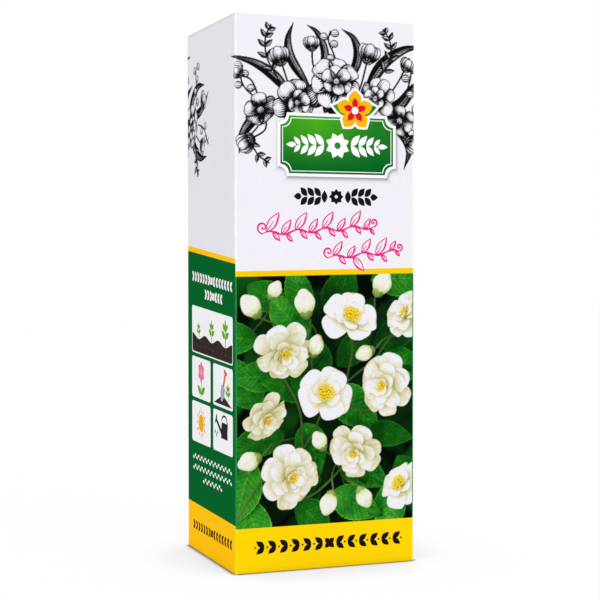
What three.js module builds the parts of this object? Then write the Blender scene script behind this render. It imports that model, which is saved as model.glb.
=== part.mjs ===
// A tall folding carton of printed paperboard, with a tuck-in lid and a glued bottom.
//
// Millimetres, +Z up. The origin is the middle of the underside, the front faces -Y
// and the lid is creased along the top of the back panel. Each panel and flap is one
// flat sheet of board. Neighbouring sheets meet face to face along their creases.

import * as THREE from 'three';

// Driving dimensions.
const WIDTH = 98; // the front and back panels, along X
const DEPTH = 83; // the side panels, along Y
const HEIGHT = 280; // from the underside to the top of the closed lid
const BOARD = 0.5; // thickness of the board

const TUCK_HEIGHT = 15; // the flap of the lid that slides in behind the front panel
const TUCK_LEAN_DEG = 8; // it leans inward, so that it swings out past the front panel
const TUCK_CORNER = 9; // radius of its two lower corners
const TUCK_SIDE_GAP = 1; // between it and each side panel
const TUCK_CREASE_GAP = 0.3; // between its upper edge and the lid

const DUST_REACH = 36; // how far each dust flap reaches in from its side panel
const DUST_BACK_GAP = 1; // from the root of a dust flap to the lid's crease
const DUST_BACK_SLOPE = 0.85; // its back edge runs forward by this for each mm it reaches
const DUST_FRONT_GAP = 3.5; // from its root to the front panel, to clear the tuck flap
const DUST_FRONT_SLOPE = 0.12; // its front edge runs back by this for each mm it reaches

const BOTTOM_DUST_REACH = 40; // the two short flaps under the contents
const BOTTOM_DUST_TAPER = 6; // how much narrower they are at each end of the free edge
const BOTTOM_GAP = 0.5; // from the inner bottom flaps to the walls that they don't fold from

const GLUE_WIDTH = 14; // the glued seam, inside the back panel
const GLUE_END_GAP = 6; // it stops short of the top and bottom creases
const GLUE_TAPER = 8; // length of the slanted cut at each of its ends

const LID_FRONT_GAP = 0.5; // between the lid's front crease and the front panel
const LID_SIDE_INSET = 0.25; // the lid's cut edges lie just inside the side panels
const FRONT_CUT_DROP = 0.25; // the front panel's cut edge lies just below the lid's top

// Places worked out from the driving dimensions.
const halfWidth = WIDTH / 2;
const halfDepth = DEPTH / 2;
const lidUnderside = HEIGHT - BOARD;
const innerHalfWidth = halfWidth - BOARD;
const innerHalfDepth = halfDepth - BOARD;

// Board colours: the printed outer faces, the lid, and the uncoated flaps inside.
const PRINTED = { color: 0xf3f2f8, roughness: 0.42, metalness: 0 };
const FOOT = { color: 0xfdd204, roughness: 0.42, metalness: 0 };
const UNCOATED = { color: 0xd9d3c6, roughness: 0.9, metalness: 0 };

const carton = new THREE.Group();

function addMesh(name, geometry, finish, parent = carton) {
  const mesh = new THREE.Mesh(geometry, new THREE.MeshStandardMaterial(finish));
  mesh.name = name;
  parent.add(mesh);
  return mesh;
}

// An upright or level panel, from its lowest and highest corners.
function addPanel(name, low, high, finish) {
  const size = high.map((value, axis) => value - low[axis]);
  const middle = high.map((value, axis) => (value + low[axis]) / 2);
  const mesh = addMesh(name, new THREE.BoxGeometry(...size), finish);
  mesh.position.set(...middle);
}

// A flap cut from board: its outline lies in the shape's own XY plane.
function flapGeometry(outline, curveSegments = 12) {
  return new THREE.ExtrudeGeometry(outline, { depth: BOARD, bevelEnabled: false, curveSegments });
}

function outlineThrough(points) {
  return new THREE.Shape(points.map(([x, y]) => new THREE.Vector2(x, y)));
}

// The four walls. The front and back run the full width and the sides butt against them.
function addWalls() {
  const frontTop = HEIGHT - FRONT_CUT_DROP;
  addPanel('front_panel', [-halfWidth, -halfDepth, BOARD], [halfWidth, -innerHalfDepth, frontTop], PRINTED);
  addPanel('back_panel', [-halfWidth, innerHalfDepth, BOARD], [halfWidth, halfDepth, lidUnderside], PRINTED);
  addPanel('left_panel', [-halfWidth, -innerHalfDepth, BOARD], [-innerHalfWidth, innerHalfDepth, lidUnderside],
    PRINTED);
  addPanel('right_panel', [innerHalfWidth, -innerHalfDepth, BOARD], [halfWidth, innerHalfDepth, lidUnderside],
    PRINTED);
}

// The seam: a strip that folds in from the left panel and is glued inside the back panel.
function addGlueFlap() {
  const low = GLUE_END_GAP;
  const high = HEIGHT - GLUE_END_GAP;
  const outline = outlineThrough([
    [0, low],
    [GLUE_WIDTH, low + GLUE_TAPER],
    [GLUE_WIDTH, high - GLUE_TAPER],
    [0, high],
  ]);
  const flap = addMesh('glue_flap', flapGeometry(outline), UNCOATED);
  flap.rotation.x = Math.PI / 2;
  flap.position.set(-innerHalfWidth, innerHalfDepth, 0);
}

// The closed bottom: a full outer flap, a full inner flap on it and two short flaps on top.
function addBottom() {
  addPanel('bottom_outer_flap', [-halfWidth, -halfDepth, 0], [halfWidth, halfDepth, BOARD], FOOT);
  addPanel('bottom_inner_flap', [-innerHalfWidth + BOTTOM_GAP, -innerHalfDepth + BOTTOM_GAP, BOARD],
    [innerHalfWidth - BOTTOM_GAP, innerHalfDepth, 2 * BOARD], UNCOATED);

  const root = innerHalfDepth - BOTTOM_GAP;
  const tip = root - BOTTOM_DUST_TAPER;
  for (const [name, side] of [['bottom_dust_left', -1], ['bottom_dust_right', 1]]) {
    const rootX = side * innerHalfWidth;
    const tipX = side * (innerHalfWidth - BOTTOM_DUST_REACH);
    const outline = outlineThrough([[rootX, -root], [tipX, -tip], [tipX, tip], [rootX, root]]);
    const flap = addMesh(name, flapGeometry(outline), UNCOATED);
    flap.position.z = 2 * BOARD;
  }
}

// The dust flaps fold in from the side panels, level under the closed lid. Their slanted
// back edges keep below the lid while they rise with it.
function addDustFlaps() {
  const backRoot = halfDepth - DUST_BACK_GAP;
  const backTip = backRoot - DUST_BACK_SLOPE * DUST_REACH;
  const frontRoot = -innerHalfDepth + DUST_FRONT_GAP;
  const frontTip = frontRoot + DUST_FRONT_SLOPE * DUST_REACH;
  for (const [name, side] of [['dust_flap_left', -1], ['dust_flap_right', 1]]) {
    const rootX = side * innerHalfWidth;
    const tipX = side * (innerHalfWidth - DUST_REACH);
    const outline = outlineThrough([[rootX, frontRoot], [tipX, frontTip], [tipX, backTip], [rootX, backRoot]]);
    const flap = addMesh(name, flapGeometry(outline), UNCOATED);
    flap.position.z = lidUnderside - BOARD;
  }
}

// The lid lies on the side panels, and its tuck flap hangs behind the front panel.
function addLid() {
  const lidHalfWidth = halfWidth - LID_SIDE_INSET;
  const lidFront = -innerHalfDepth + LID_FRONT_GAP;
  addPanel('top_lid', [-lidHalfWidth, lidFront, lidUnderside], [lidHalfWidth, halfDepth, HEIGHT], PRINTED);

  const half = innerHalfWidth - TUCK_SIDE_GAP;
  const outline = new THREE.Shape();
  outline.moveTo(-half, -TUCK_CREASE_GAP);
  outline.lineTo(-half, -TUCK_HEIGHT + TUCK_CORNER);
  outline.absarc(-half + TUCK_CORNER, -TUCK_HEIGHT + TUCK_CORNER, TUCK_CORNER, Math.PI, 1.5 * Math.PI);
  outline.lineTo(half - TUCK_CORNER, -TUCK_HEIGHT);
  outline.absarc(half - TUCK_CORNER, -TUCK_HEIGHT + TUCK_CORNER, TUCK_CORNER, -0.5 * Math.PI, 0);
  outline.lineTo(half, -TUCK_CREASE_GAP);

  const crease = new THREE.Group();
  crease.position.set(0, lidFront, lidUnderside);
  crease.rotation.x = THREE.MathUtils.degToRad(TUCK_LEAN_DEG);
  carton.add(crease);
  const flap = addMesh('tuck_flap', flapGeometry(outline), PRINTED, crease);
  flap.rotation.x = Math.PI / 2;
  flap.position.y = BOARD;
}

addWalls();
addGlueFlap();
addBottom();
addDustFlaps();
addLid();

export default carton;
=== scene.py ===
"""A tall folding carton of printed paperboard with a tuck-in lid: its board, its print and its studio.

The walls are sheets of coated board whose print is part of the mesh: each shape of ink is its own
faces. The colour picture and the engraved garland are thin plates on them, whose colours come
from flowers that are modelled here and looked down on. Sizes are in millimetres until a piece is
placed, and then in metres, as the frame is.
"""

import math

import bpy
import numpy as np
from mathutils import Matrix, Vector
from mathutils.bvhtree import BVHTree
from mathutils.geometry import delaunay_2d_cdt


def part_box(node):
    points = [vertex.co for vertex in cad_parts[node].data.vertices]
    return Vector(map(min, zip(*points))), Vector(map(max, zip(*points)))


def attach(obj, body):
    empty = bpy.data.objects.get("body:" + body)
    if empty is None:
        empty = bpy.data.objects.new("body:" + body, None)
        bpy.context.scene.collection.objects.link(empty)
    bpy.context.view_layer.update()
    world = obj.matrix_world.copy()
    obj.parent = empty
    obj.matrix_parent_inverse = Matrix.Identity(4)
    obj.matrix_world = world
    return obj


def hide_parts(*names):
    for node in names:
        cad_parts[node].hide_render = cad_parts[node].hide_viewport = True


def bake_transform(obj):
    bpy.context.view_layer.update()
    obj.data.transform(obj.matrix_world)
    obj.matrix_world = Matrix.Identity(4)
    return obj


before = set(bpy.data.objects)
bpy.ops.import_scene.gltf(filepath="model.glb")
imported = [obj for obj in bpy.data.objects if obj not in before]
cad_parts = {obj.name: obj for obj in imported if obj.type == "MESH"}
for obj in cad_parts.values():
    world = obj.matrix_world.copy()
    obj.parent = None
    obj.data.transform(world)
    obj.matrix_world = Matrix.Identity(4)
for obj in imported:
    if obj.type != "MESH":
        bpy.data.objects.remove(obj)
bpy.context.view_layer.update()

MM = 0.001
NEAR = 0.01              # places closer than this, in mm, count as one


def box_mm(node):
    """The lowest and highest corners of a CAD node, in mm."""
    return tuple(np.array(corner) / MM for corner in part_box(node))


# The board, read from the frame.
LOW, HIGH = box_mm("front_panel")
WIDTH = HIGH[0] - LOW[0]
DEPTH = (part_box("back_panel")[1][1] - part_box("front_panel")[0][1]) / MM
HEIGHT = box_mm("top_lid")[1][2]
BOARD = HIGH[1] - LOW[1]
FRONT_TOP = HIGH[2]
WALL_TOP = box_mm("left_panel")[1][2]
FOOT = LOW[2]
HALF_W, HALF_D = WIDTH / 2, DEPTH / 2
DUST_ROOT = [corner[1] for corner in box_mm("dust_flap_left")]
TUCK_HALF = box_mm("tuck_flap")[1][0]

# Folds and creases.
FOLD_RADIUS = 0.8        # of the outer face where two walls meet
FOLD_STEPS = 4           # facets of half a fold
FOLD_END = FOLD_RADIUS + 0.2    # past this a wall is flat, and creases run along its top
BEND_RADIUS = 0.55       # of the outer face where a flap is creased
BEND_TAIL = 0.5          # flat board on both sides of such a bend, in the same piece
BEND_STEPS = 8
UNDER_LID = 0.04         # between the lid and what lies under it
BEND_MIDDLE = WALL_TOP - (BEND_RADIUS - BOARD)    # height about which the lid's board bends
FLAP_MIDDLE = BEND_MIDDLE - BOARD - UNDER_LID     # height about which a dust flap's board bends
FOOT_ROUND = 0.38        # how far the carton's lower edges are rounded
SOFTENED = 0.06          # the cut edges of board are rounded by about this

# The cut of the flaps.
TUCK_REACH = 15.0        # how far the lid's flap reaches down behind the front wall
TUCK_LEAN = 8.0          # degrees that it leans inward
TUCK_CORNER = 9.0        # radius of its two lower corners
DUST_FRONT_SLOPE = 0.12  # how the edges of a dust flap draw in, for each mm that it reaches
DUST_BACK_SLOPE = 0.85
BOTTOM_TAPER = 6.0       # how far the short bottom flaps draw in at each end of their free edge
GLUE_TAPER = 8.0         # length of the slanted cut at both ends of the glued seam

# The print on a wall, in mm down from the top of the carton, at its left and right edges.
FRONT_RULE = ((128.2, 131.0), (126.6, 129.45))
SIDE_RULE = ((114.6, 117.4), (122.0, 124.55))
FRONT_BAND = (257.2, 257.2)
SIDE_BAND = (254.3, 255.6)
RULE_FALL = SIDE_RULE[1][0] - SIDE_RULE[0][0]
LEVEL_FROM = 240.0       # how far down the side's print is level again

# The thin plates on the walls.
PLATE_RISE = 0.04        # how proud of the wall the prints' plates lie
PLATE_SINK = 0.02        # how far their backs reach into it
PLATE_GAP = 0.05         # from the folds to the picture
PLAQUE_RISE = 0.12
BLOOM_RISE = PLAQUE_RISE + 0.05
PLAQUE_X = (22.4, 87.4)  # from the front wall's left edge
PLAQUE_Y = (80.4, 48.4)  # its lower and upper edges, down from the top
PLAQUE_BITE = 5.0        # radius of the bites out of its corners
BLOOM_AT = (64.5, 46.3)  # across the front wall and down from the top

PICTURE_CELL, ENGRAVING_CELL = ((0.28, 0.286))
PICTURE_RAYS, ENGRAVING_RAYS = ((3, 2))


def down(distance):
    """Height of what lies this far down from the top of the carton."""
    return HEIGHT - distance


# ---------------------------------------------------------------- colours and materials

VARNISH = 0.025          # how strongly the satin varnish reflects
MOTTLE = 0.955           # share of its ink where a print is palest
FOLD_HIGHLIGHT = (1.14, 0.008)    # painted highlight: ink on a fold is brighter by this share, and by this much more
FOLD_HIGHLIGHT_WANDER = 0.0003      # metres by which the edge of that painted highlight wanders
SIDE_PAINTED_GLOW = 0.14         # how strongly the yellow inks are given a painted glow, on the sides
FRONT_PAINTED_GLOW = 0.045       # and elsewhere

INKS = {
    "white_coat": (242, 241, 247),
    "yellow_rule": (252, 206, 3),
    "yellow_band": (254, 213, 1),
    "side_yellow": (255, 198, 0),
    "wall_green": (4, 107, 45),
    # the wall's green as it shows on a fold, lighter as a painted highlight
    "fold_green": (24, 138, 66),
    "leaf_dark": (6, 38, 16),
    "black_ink": (24, 22, 26),
    "pink_ink": (238, 38, 136),
    "white_ink": (254, 254, 255),
    "soil_brown": (60, 48, 44),
    "soil_dark": (104, 88, 80),
    "sprout_green": (104, 180, 34),
    "sun_yellow": (254, 184, 10),
    "petal_pink": (244, 124, 184),
    "can_grey": (46, 46, 52),
    "blade_grey": (172, 175, 190),
    "handle_orange": (222, 108, 50),
    "bloom_red": (226, 24, 40),
}


def linear(colour):
    """A colour as printed, 0 to 255 as the eye sees it, made linear."""
    c = np.asarray(colour, float) / 255
    return np.where(c <= 0.04045, c / 12.92, ((c + 0.055) / 1.055) ** 2.4)


def rgba(colour):
    return (*(float(c) for c in linear(colour)), 1.0)


def brightened(colour, share, more=0.0):
    """A linear colour times a share, and a little more."""
    return tuple(min(1.0, c * share + more) for c in colour[:3]) + (1.0,)


class Nodes:
    """Short calls that add and join the nodes of one material."""

    def __init__(self, name):
        self.material = bpy.data.materials.new(name)
        self.material.use_nodes = True
        self.tree = self.material.node_tree
        self.tree.nodes.clear()
        out = self.tree.nodes.new("ShaderNodeOutputMaterial")
        self.shader = self.tree.nodes.new("ShaderNodeBsdfPrincipled")
        self.join(self.shader.outputs[0], out.inputs[0])

    def add(self, kind, **settings):
        node = self.tree.nodes.new("ShaderNode" + kind)
        for key, value in settings.items():
            if hasattr(node, key):
                setattr(node, key, value)
            else:
                node.inputs[key.replace("_", " ")].default_value = value
        return node

    def join(self, source, target):
        self.tree.links.new(source, target)

    def set(self, **values):
        for key, value in values.items():
            self.shader.inputs[key.replace("_", " ")].default_value = value

    def place(self):
        return self.add("TexCoord").outputs["Object"]

    def axes(self, place):
        node = self.add("SeparateXYZ")
        self.join(place, node.inputs[0])
        return node.outputs

    def noise(self, place, scale, detail=2.0, roughness=0.5):
        node = self.add("TexNoise", Scale=scale, Detail=detail, Roughness=roughness)
        self.join(place, node.inputs["Vector"])
        return node.outputs["Fac"]

    def ranged(self, value, low, high, to_low, to_high, smooth=False):
        node = self.add("MapRange", interpolation_type="SMOOTHSTEP" if smooth else "LINEAR")
        self.join(value, node.inputs["Value"])
        for key, number in (("From Min", low), ("From Max", high), ("To Min", to_low), ("To Max", to_high)):
            node.inputs[key].default_value = number
        return node.outputs["Result"]

    def reckon(self, operation, *values):
        """One step of arithmetic on sockets and numbers."""
        node = self.add("Math", operation=operation)
        for socket, value in zip(node.inputs, values):
            if isinstance(value, (int, float)):
                socket.default_value = value
            else:
                self.join(value, socket)
        return node.outputs[0]

    def blend(self, share, a, b):
        """A mix of two colours; share is a socket."""
        node = self.add("Mix", data_type="RGBA")
        self.join(share, node.inputs["Factor"])
        for socket, value in ((node.inputs[6], a), (node.inputs[7], b)):
            if isinstance(value, tuple):
                socket.default_value = value
            else:
                self.join(value, socket)
        return node.outputs[2]

    def bump(self, height, strength, distance, under=None):
        node = self.add("Bump", Strength=strength, Distance=distance)
        self.join(height, node.inputs["Height"])
        if under:
            self.join(under, node.inputs["Normal"])
        return node.outputs[0]

    def finish(self, base, normal, **values):
        """Joins the colour and the bump to the shader, and sets its other sockets."""
        self.join(base, self.shader.inputs["Base Color"])
        self.join(normal, self.shader.inputs["Normal"])
        self.set(**values)
        return self.material


def fold_highlight_mask(nodes, place):
    """Where the highlight is painted: 1 on the rounded folds between the walls, 0 on their flat faces, broken
    up by a fine noise.
    """
    xyz = nodes.axes(place)
    ends = [nodes.reckon("SUBTRACT", nodes.reckon("ABSOLUTE", xyz[k]), half * MM - FOLD_RADIUS * MM)
            for k, half in enumerate((HALF_W, HALF_D))]
    depth = nodes.reckon("MINIMUM", *ends)
    grain = nodes.ranged(nodes.noise(place, 900.0, 3.0, 0.7), 0.3, 0.7, -FOLD_HIGHLIGHT_WANDER, FOLD_HIGHLIGHT_WANDER)
    return nodes.ranged(nodes.reckon("ADD", depth, grain), -FOLD_HIGHLIGHT_WANDER, 0.0002, 0.0, 1.0, smooth=True)


def coated(nodes, colour, roughness=0.36):
    """Coated board: an even print with faint mottle under a satin varnish. The colour is an ink's, which is
    brighter along a fold as a painted highlight, or a socket."""
    place = nodes.place()
    mottle = nodes.noise(place, 260.0, 4.0, 0.6)
    cloud = nodes.noise(place, 24.0, 2.0, 0.5)
    both = nodes.reckon("ADD", *(nodes.ranged(noise, 0.3, 0.7, 0.0, 0.5) for noise in (mottle, cloud)))
    if isinstance(colour, tuple):
        base = nodes.blend(both, brightened(colour, MOTTLE), colour)
        # A painted highlight: the ink is brighter along the folds.
        base = nodes.blend(fold_highlight_mask(nodes, place), base, brightened(colour, *FOLD_HIGHLIGHT))
    else:
        shade = nodes.add("Mix", data_type="RGBA", blend_type="MULTIPLY")
        shade.inputs["Factor"].default_value = 1.0
        nodes.join(colour, shade.inputs[6])
        nodes.join(nodes.blend(both, (MOTTLE,) * 3 + (1.0,), (1.0,) * 4), shade.inputs[7])
        base = shade.outputs[2]
    satin = nodes.ranged(mottle, 0.3, 0.7, roughness - 0.05, roughness + 0.07)
    nodes.join(satin, nodes.shader.inputs["Roughness"])
    fibre = nodes.bump(nodes.noise(place, 1500.0, 3.0, 0.6), 0.10, 0.00005, nodes.bump(cloud, 0.25, 0.0006))
    return nodes.finish(base, fibre, IOR=1.47, Specular_IOR_Level=VARNISH)


def bare_board():
    """The uncoated inside face: greyish recycled fibre with specks."""
    nodes = Nodes("bare_board")
    place = nodes.place()
    stretched = nodes.add("Mapping")
    stretched.inputs["Scale"].default_value = (1.0, 1.0, 0.25)
    nodes.join(place, stretched.inputs["Vector"])
    fibre = nodes.noise(stretched.outputs[0], 1400.0, 4.0, 0.7)
    cloud = nodes.noise(place, 60.0, 3.0, 0.6)
    pale = nodes.ranged(fibre, 0.32, 0.68, 0.0, 1.0)
    base = nodes.blend(pale, rgba((196, 188, 172)), rgba((226, 220, 207)))
    base = nodes.blend(nodes.ranged(cloud, 0.35, 0.7, 0.0, 0.35), base, rgba((205, 196, 176)))
    specks = nodes.ranged(nodes.noise(place, 620.0, 1.0, 0.5), 0.70, 0.76, 0.0, 0.55)
    base = nodes.blend(specks, base, rgba((128, 116, 100)))
    return nodes.finish(base, nodes.bump(fibre, 0.35, 0.0001), Roughness=0.88, Specular_IOR_Level=0.2)


def cut_pulp():
    """The cut edge of the board: pale pulp in thin layers."""
    nodes = Nodes("cut_pulp")
    fibre = nodes.noise(nodes.place(), 2600.0, 3.0, 0.7)
    base = nodes.blend(nodes.ranged(fibre, 0.3, 0.7, 0.0, 1.0), rgba((228, 225, 218)), rgba((247, 246, 242)))
    return nodes.finish(base, nodes.bump(fibre, 0.4, 0.0001), Roughness=0.9, Specular_IOR_Level=0.2)


def plaque_green():
    """The plaque's green, bright at its upper left and deep at its foot."""
    nodes = Nodes("plaque_green")
    xyz = nodes.axes(nodes.place())
    height = nodes.ranged(xyz[2], down(80) * MM, down(50) * MM, 0.0, 1.0, smooth=True)
    from_left = nodes.reckon("ABSOLUTE", nodes.reckon("ADD", xyz[0], 0.006))
    across = nodes.ranged(from_left, 0.0, 0.034, 1.0, 0.25)
    lit = nodes.reckon("MULTIPLY", height, across)
    return coated(nodes, nodes.blend(lit, rgba((0, 102, 36)), rgba((72, 176, 26))), 0.3)


def from_attribute(name):
    """Printed in the colours that the mesh holds."""
    nodes = Nodes(name)
    return coated(nodes, nodes.add("Attribute", attribute_name="print").outputs["Color"], 0.38)


MATERIALS = {name: coated(Nodes(name), rgba(colour)) for name, colour in INKS.items()}
# A painted glow: the yellows emit a little light of their own, so they show brighter than the light that
# falls on them.
for ink, painted_glow, strength in (("side_yellow", (1, 0.36, 0, 1), SIDE_PAINTED_GLOW),
                            ("yellow_band", (1, 0.66, 0, 1), FRONT_PAINTED_GLOW),
                            ("yellow_rule", (1, 0.6, 0, 1), 0.3 * FRONT_PAINTED_GLOW)):
    yellow = MATERIALS[ink].node_tree.nodes["Principled BSDF"]
    yellow.inputs["Emission Color"].default_value = painted_glow
    yellow.inputs["Emission Strength"].default_value = strength
for make in (bare_board, cut_pulp, plaque_green):
    MATERIALS[make.__name__] = make()
for name in ("picture_print", "engraving_print"):
    MATERIALS[name] = from_attribute(name)


# ---------------------------------------------------------------- work on meshes

def deselect():
    if bpy.context.object and bpy.context.object.mode != "OBJECT":
        bpy.ops.object.mode_set(mode="OBJECT")
    bpy.ops.object.select_all(action="DESELECT")


def take(piece):
    """Makes a piece the only one selected."""
    deselect()
    piece.select_set(True)
    bpy.context.view_layer.objects.active = piece
    return piece


def leave_edit():
    bpy.ops.object.mode_set(mode="OBJECT")


def settle(piece):
    """Puts the piece's place and turn into its mesh."""
    take(piece)
    bpy.ops.object.transform_apply(location=True, rotation=True, scale=True)
    return piece


def smooth(piece, degrees):
    """Shades a piece smooth across edges that turn by less than this."""
    take(piece)
    bpy.ops.object.shade_smooth_by_angle(angle=math.radians(degrees))
    return piece


def block(name, low, high):
    """A box of board between two corners, in mm."""
    deselect()
    low, high = np.asarray(low, float), np.asarray(high, float)
    bpy.ops.mesh.primitive_cube_add(size=1, location=(low + high) / 2 * MM, scale=(high - low) * MM)
    piece = bpy.context.object
    piece.name = piece.data.name = name
    return settle(piece)


def mesh_of(name, places, faces, inks):
    """A mesh with its corners in metres and its inks as materials."""
    mesh = bpy.data.meshes.new(name)
    mesh.from_pydata(places.tolist(), [], faces)
    for ink in inks:
        mesh.materials.append(MATERIALS[ink])
    return mesh


def add_map(mesh, corners):
    """The mesh's own map, one place for each corner of each face."""
    mesh.uv_layers.new(name="OFBake").data.foreach_set("uv", corners.astype(np.float32).ravel())


def linked(name, mesh):
    piece = bpy.data.objects.new(name, mesh)
    bpy.context.collection.objects.link(piece)
    return piece


def select_parts(piece, kind, test):
    """In edit mode, selects the vertices, edges or faces whose middle passes the test."""
    take(piece)
    mesh = piece.data
    at = [v.co / MM for v in mesh.vertices]
    chosen = {"VERT": mesh.vertices, "EDGE": mesh.edges, "FACE": mesh.polygons}[kind]
    for group in (mesh.vertices, mesh.edges, mesh.polygons):
        for part in group:
            part.select = False
    for part in chosen:
        corners = [at[part.index]] if kind == "VERT" else [at[k] for k in part.vertices]
        part.select = bool(test(sum(corners, Vector()) / len(corners)))
    bpy.context.tool_settings.mesh_select_mode = [kind == k for k in ("VERT", "EDGE", "FACE")]
    bpy.ops.object.mode_set(mode="EDIT")


def bevel_parts(piece, kind, test, offset, segments):
    """Rounds the chosen edges, or the edges of the chosen faces."""
    select_parts(piece, kind, test)
    bpy.ops.mesh.bevel(offset=offset * MM, segments=segments, affect="EDGES")
    leave_edit()


def slide_corners(flap, x, axis, at, by):
    """Slides the corners of a flap at x, and at a place along Y or Z (axis 1 or 2), along that axis."""
    select_parts(flap, "VERT", lambda p: abs(p[0] - x) < NEAR and abs(p[axis] - at) < NEAR)
    shift = [0.0, 0.0, 0.0]
    shift[axis] = by * MM
    bpy.ops.transform.translate(value=shift)
    leave_edit()


def soften(piece):
    """Rounds the edges of a piece a little, as cut and pressed board is."""
    take(piece)
    bevel = piece.modifiers.new("soft_edges", "BEVEL")
    bevel.width = SOFTENED * MM
    bevel.segments = 2
    bevel.limit_method = "ANGLE"
    bevel.angle_limit = math.radians(40)
    bpy.ops.object.modifier_apply(modifier=bevel.name)
    return smooth(piece, 50)


def paint(piece, top, other="bare_board", up=(0, 0, 1)):
    """The printed side of a flap, its other side and its cut edges, told apart by the way faces point."""
    for ink in (top, other, "cut_pulp"):
        piece.data.materials.append(MATERIALS[ink])
    up = Vector(up).normalized()
    for face in piece.data.polygons:
        level = face.normal.dot(up)
        face.material_index = 0 if level > 0.6 else 1 if level < -0.6 else 2
    return piece


def finish_piece(piece, body, slot, *nodes):
    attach(piece, body)
    if nodes:
        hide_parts(*nodes)
    return piece


# ---------------------------------------------------------------- walls and their folds

class Wall:
    """One wall: where its lower left corner lies as it is seen from outside, in mm, its two directions, its
    top, and from where to where a crease runs along that top."""

    def __init__(self, corner, along, out, width, top, crease=None):
        self.corner, self.along, self.out = (np.array(v + (0,), float) for v in (corner, along, out))
        self.width, self.top, self.crease = width, top, crease

    def outline(self):
        corners = [(0, FOOT), (self.width, FOOT), (self.width, self.top), (0, self.top)]
        if self.crease:
            start, end, z = self.crease
            corners[3:3] = [(end, self.top), (end, z), (start, z), (start, self.top)]
        return corners

    def fold(self, x, z, depth):
        """Places in metres of points x from the left edge, z high and depth under the outer face."""
        end = np.where(x < self.width / 2, -1.0, 1.0)
        reach = np.where(end < 0, x, self.width - x)
        turn = np.radians(45) * np.clip(1 - reach / FOLD_RADIUS, 0, 1)
        fold_middle = np.where(end < 0, FOLD_RADIUS, self.width - FOLD_RADIUS)
        radius = FOLD_RADIUS - depth
        across = np.where(reach < FOLD_RADIUS, fold_middle, x) + end * np.sin(turn) * radius
        outward = np.cos(turn) * radius - FOLD_RADIUS
        place = self.corner + across[..., None] * self.along + outward[..., None] * self.out
        place[..., 2] = z
        return place * MM


def side_crease(at_back_edge, sign):
    ends = sorted(at_back_edge + sign * y for y in DUST_ROOT)
    return (*ends, FLAP_MIDDLE - BEND_TAIL)


WALLS = {
    "front": Wall((-HALF_W, -HALF_D), (1, 0), (0, -1), WIDTH, FRONT_TOP),
    "left": Wall((-HALF_W, HALF_D), (0, -1), (-1, 0), DEPTH, WALL_TOP - UNDER_LID, side_crease(HALF_D, -1)),
    "back": Wall((HALF_W, HALF_D), (-1, 0), (0, 1), WIDTH, WALL_TOP - UNDER_LID,
                 (FOLD_END, WIDTH - FOLD_END, BEND_MIDDLE - BEND_TAIL)),
    "right": Wall((HALF_W, -HALF_D), (0, 1), (1, 0), DEPTH, WALL_TOP - UNDER_LID, side_crease(HALF_D, 1)),
}


class Print:
    """Flat shapes of ink, laid one on another in the order of printing, x from the left and y up."""

    def __init__(self, base=None, outline=()):
        self.shapes, self.limits = [], None
        if base:
            self.limits = np.min(outline, 0), np.max(outline, 0)
            self.lay(base, outline)

    def lay(self, ink, points):
        points = np.asarray(points, float)
        if self.limits:
            points = np.clip(points, *self.limits)
        x, y = points[:, 0], points[:, 1]
        area = (x * np.roll(y, -1) - np.roll(x, -1) * y).sum()
        if abs(area) > 1e-4:
            self.shapes.append((ink, points if area > 0 else points[::-1]))

    def lay_all(self, ink, shapes):
        for points in shapes:
            self.lay(ink, points)


def cut_flat(shapes, lines=()):
    """Cuts overlapping flat shapes into triangles that share their corners. Gives the points, the triangles
    that lie in a shape, and the number of the last shape that covers each."""
    points, faces, edges = [], [], []
    for shape in shapes:
        faces.append(list(range(len(points), len(points) + len(shape))))
        points.extend(Vector(p) for p in shape)
    for line in lines:
        edges.append((len(points), len(points) + 1))
        points.extend(Vector(p) for p in line)
    flat, _, cut, *_ = delaunay_2d_cdt(points, edges, faces, 0, 1e-5, False)
    flat, cut = np.array([p[:] for p in flat]), np.array([list(c) for c in cut])
    middle = flat[cut].mean(1)
    top = np.full(len(cut), -1)
    for number, shape in enumerate(shapes):
        near = np.nonzero(((middle > shape.min(0)) & (middle < shape.max(0))).all(1))[0]
        (x, y), (ax, ay), (bx, by) = middle[near].T[:, :, None], shape.T, np.roll(shape, -1, 0).T
        slant = (bx - ax) / np.where(by == ay, 1, by - ay)
        crossed = ((ay > y) != (by > y)) & (x < ax + (y - ay) * slant)
        top[near[crossed.sum(1) % 2 == 1]] = number
    kept = top >= 0
    return flat, cut[kept].tolist(), top[kept].tolist()


def borders(faces):
    """The closed loops of points round a set of flat faces."""
    ways = {(a, b) for face in faces for a, b in zip(face, face[1:] + face[:1])}
    onward = {a: b for a, b in ways if (b, a) not in ways}
    loops = []
    while onward:
        loop = [next(iter(onward))]
        while (after := onward.pop(loop[-1])) != loop[0]:
            loop.append(after)
        loops.append(loop)
    return loops


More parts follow.
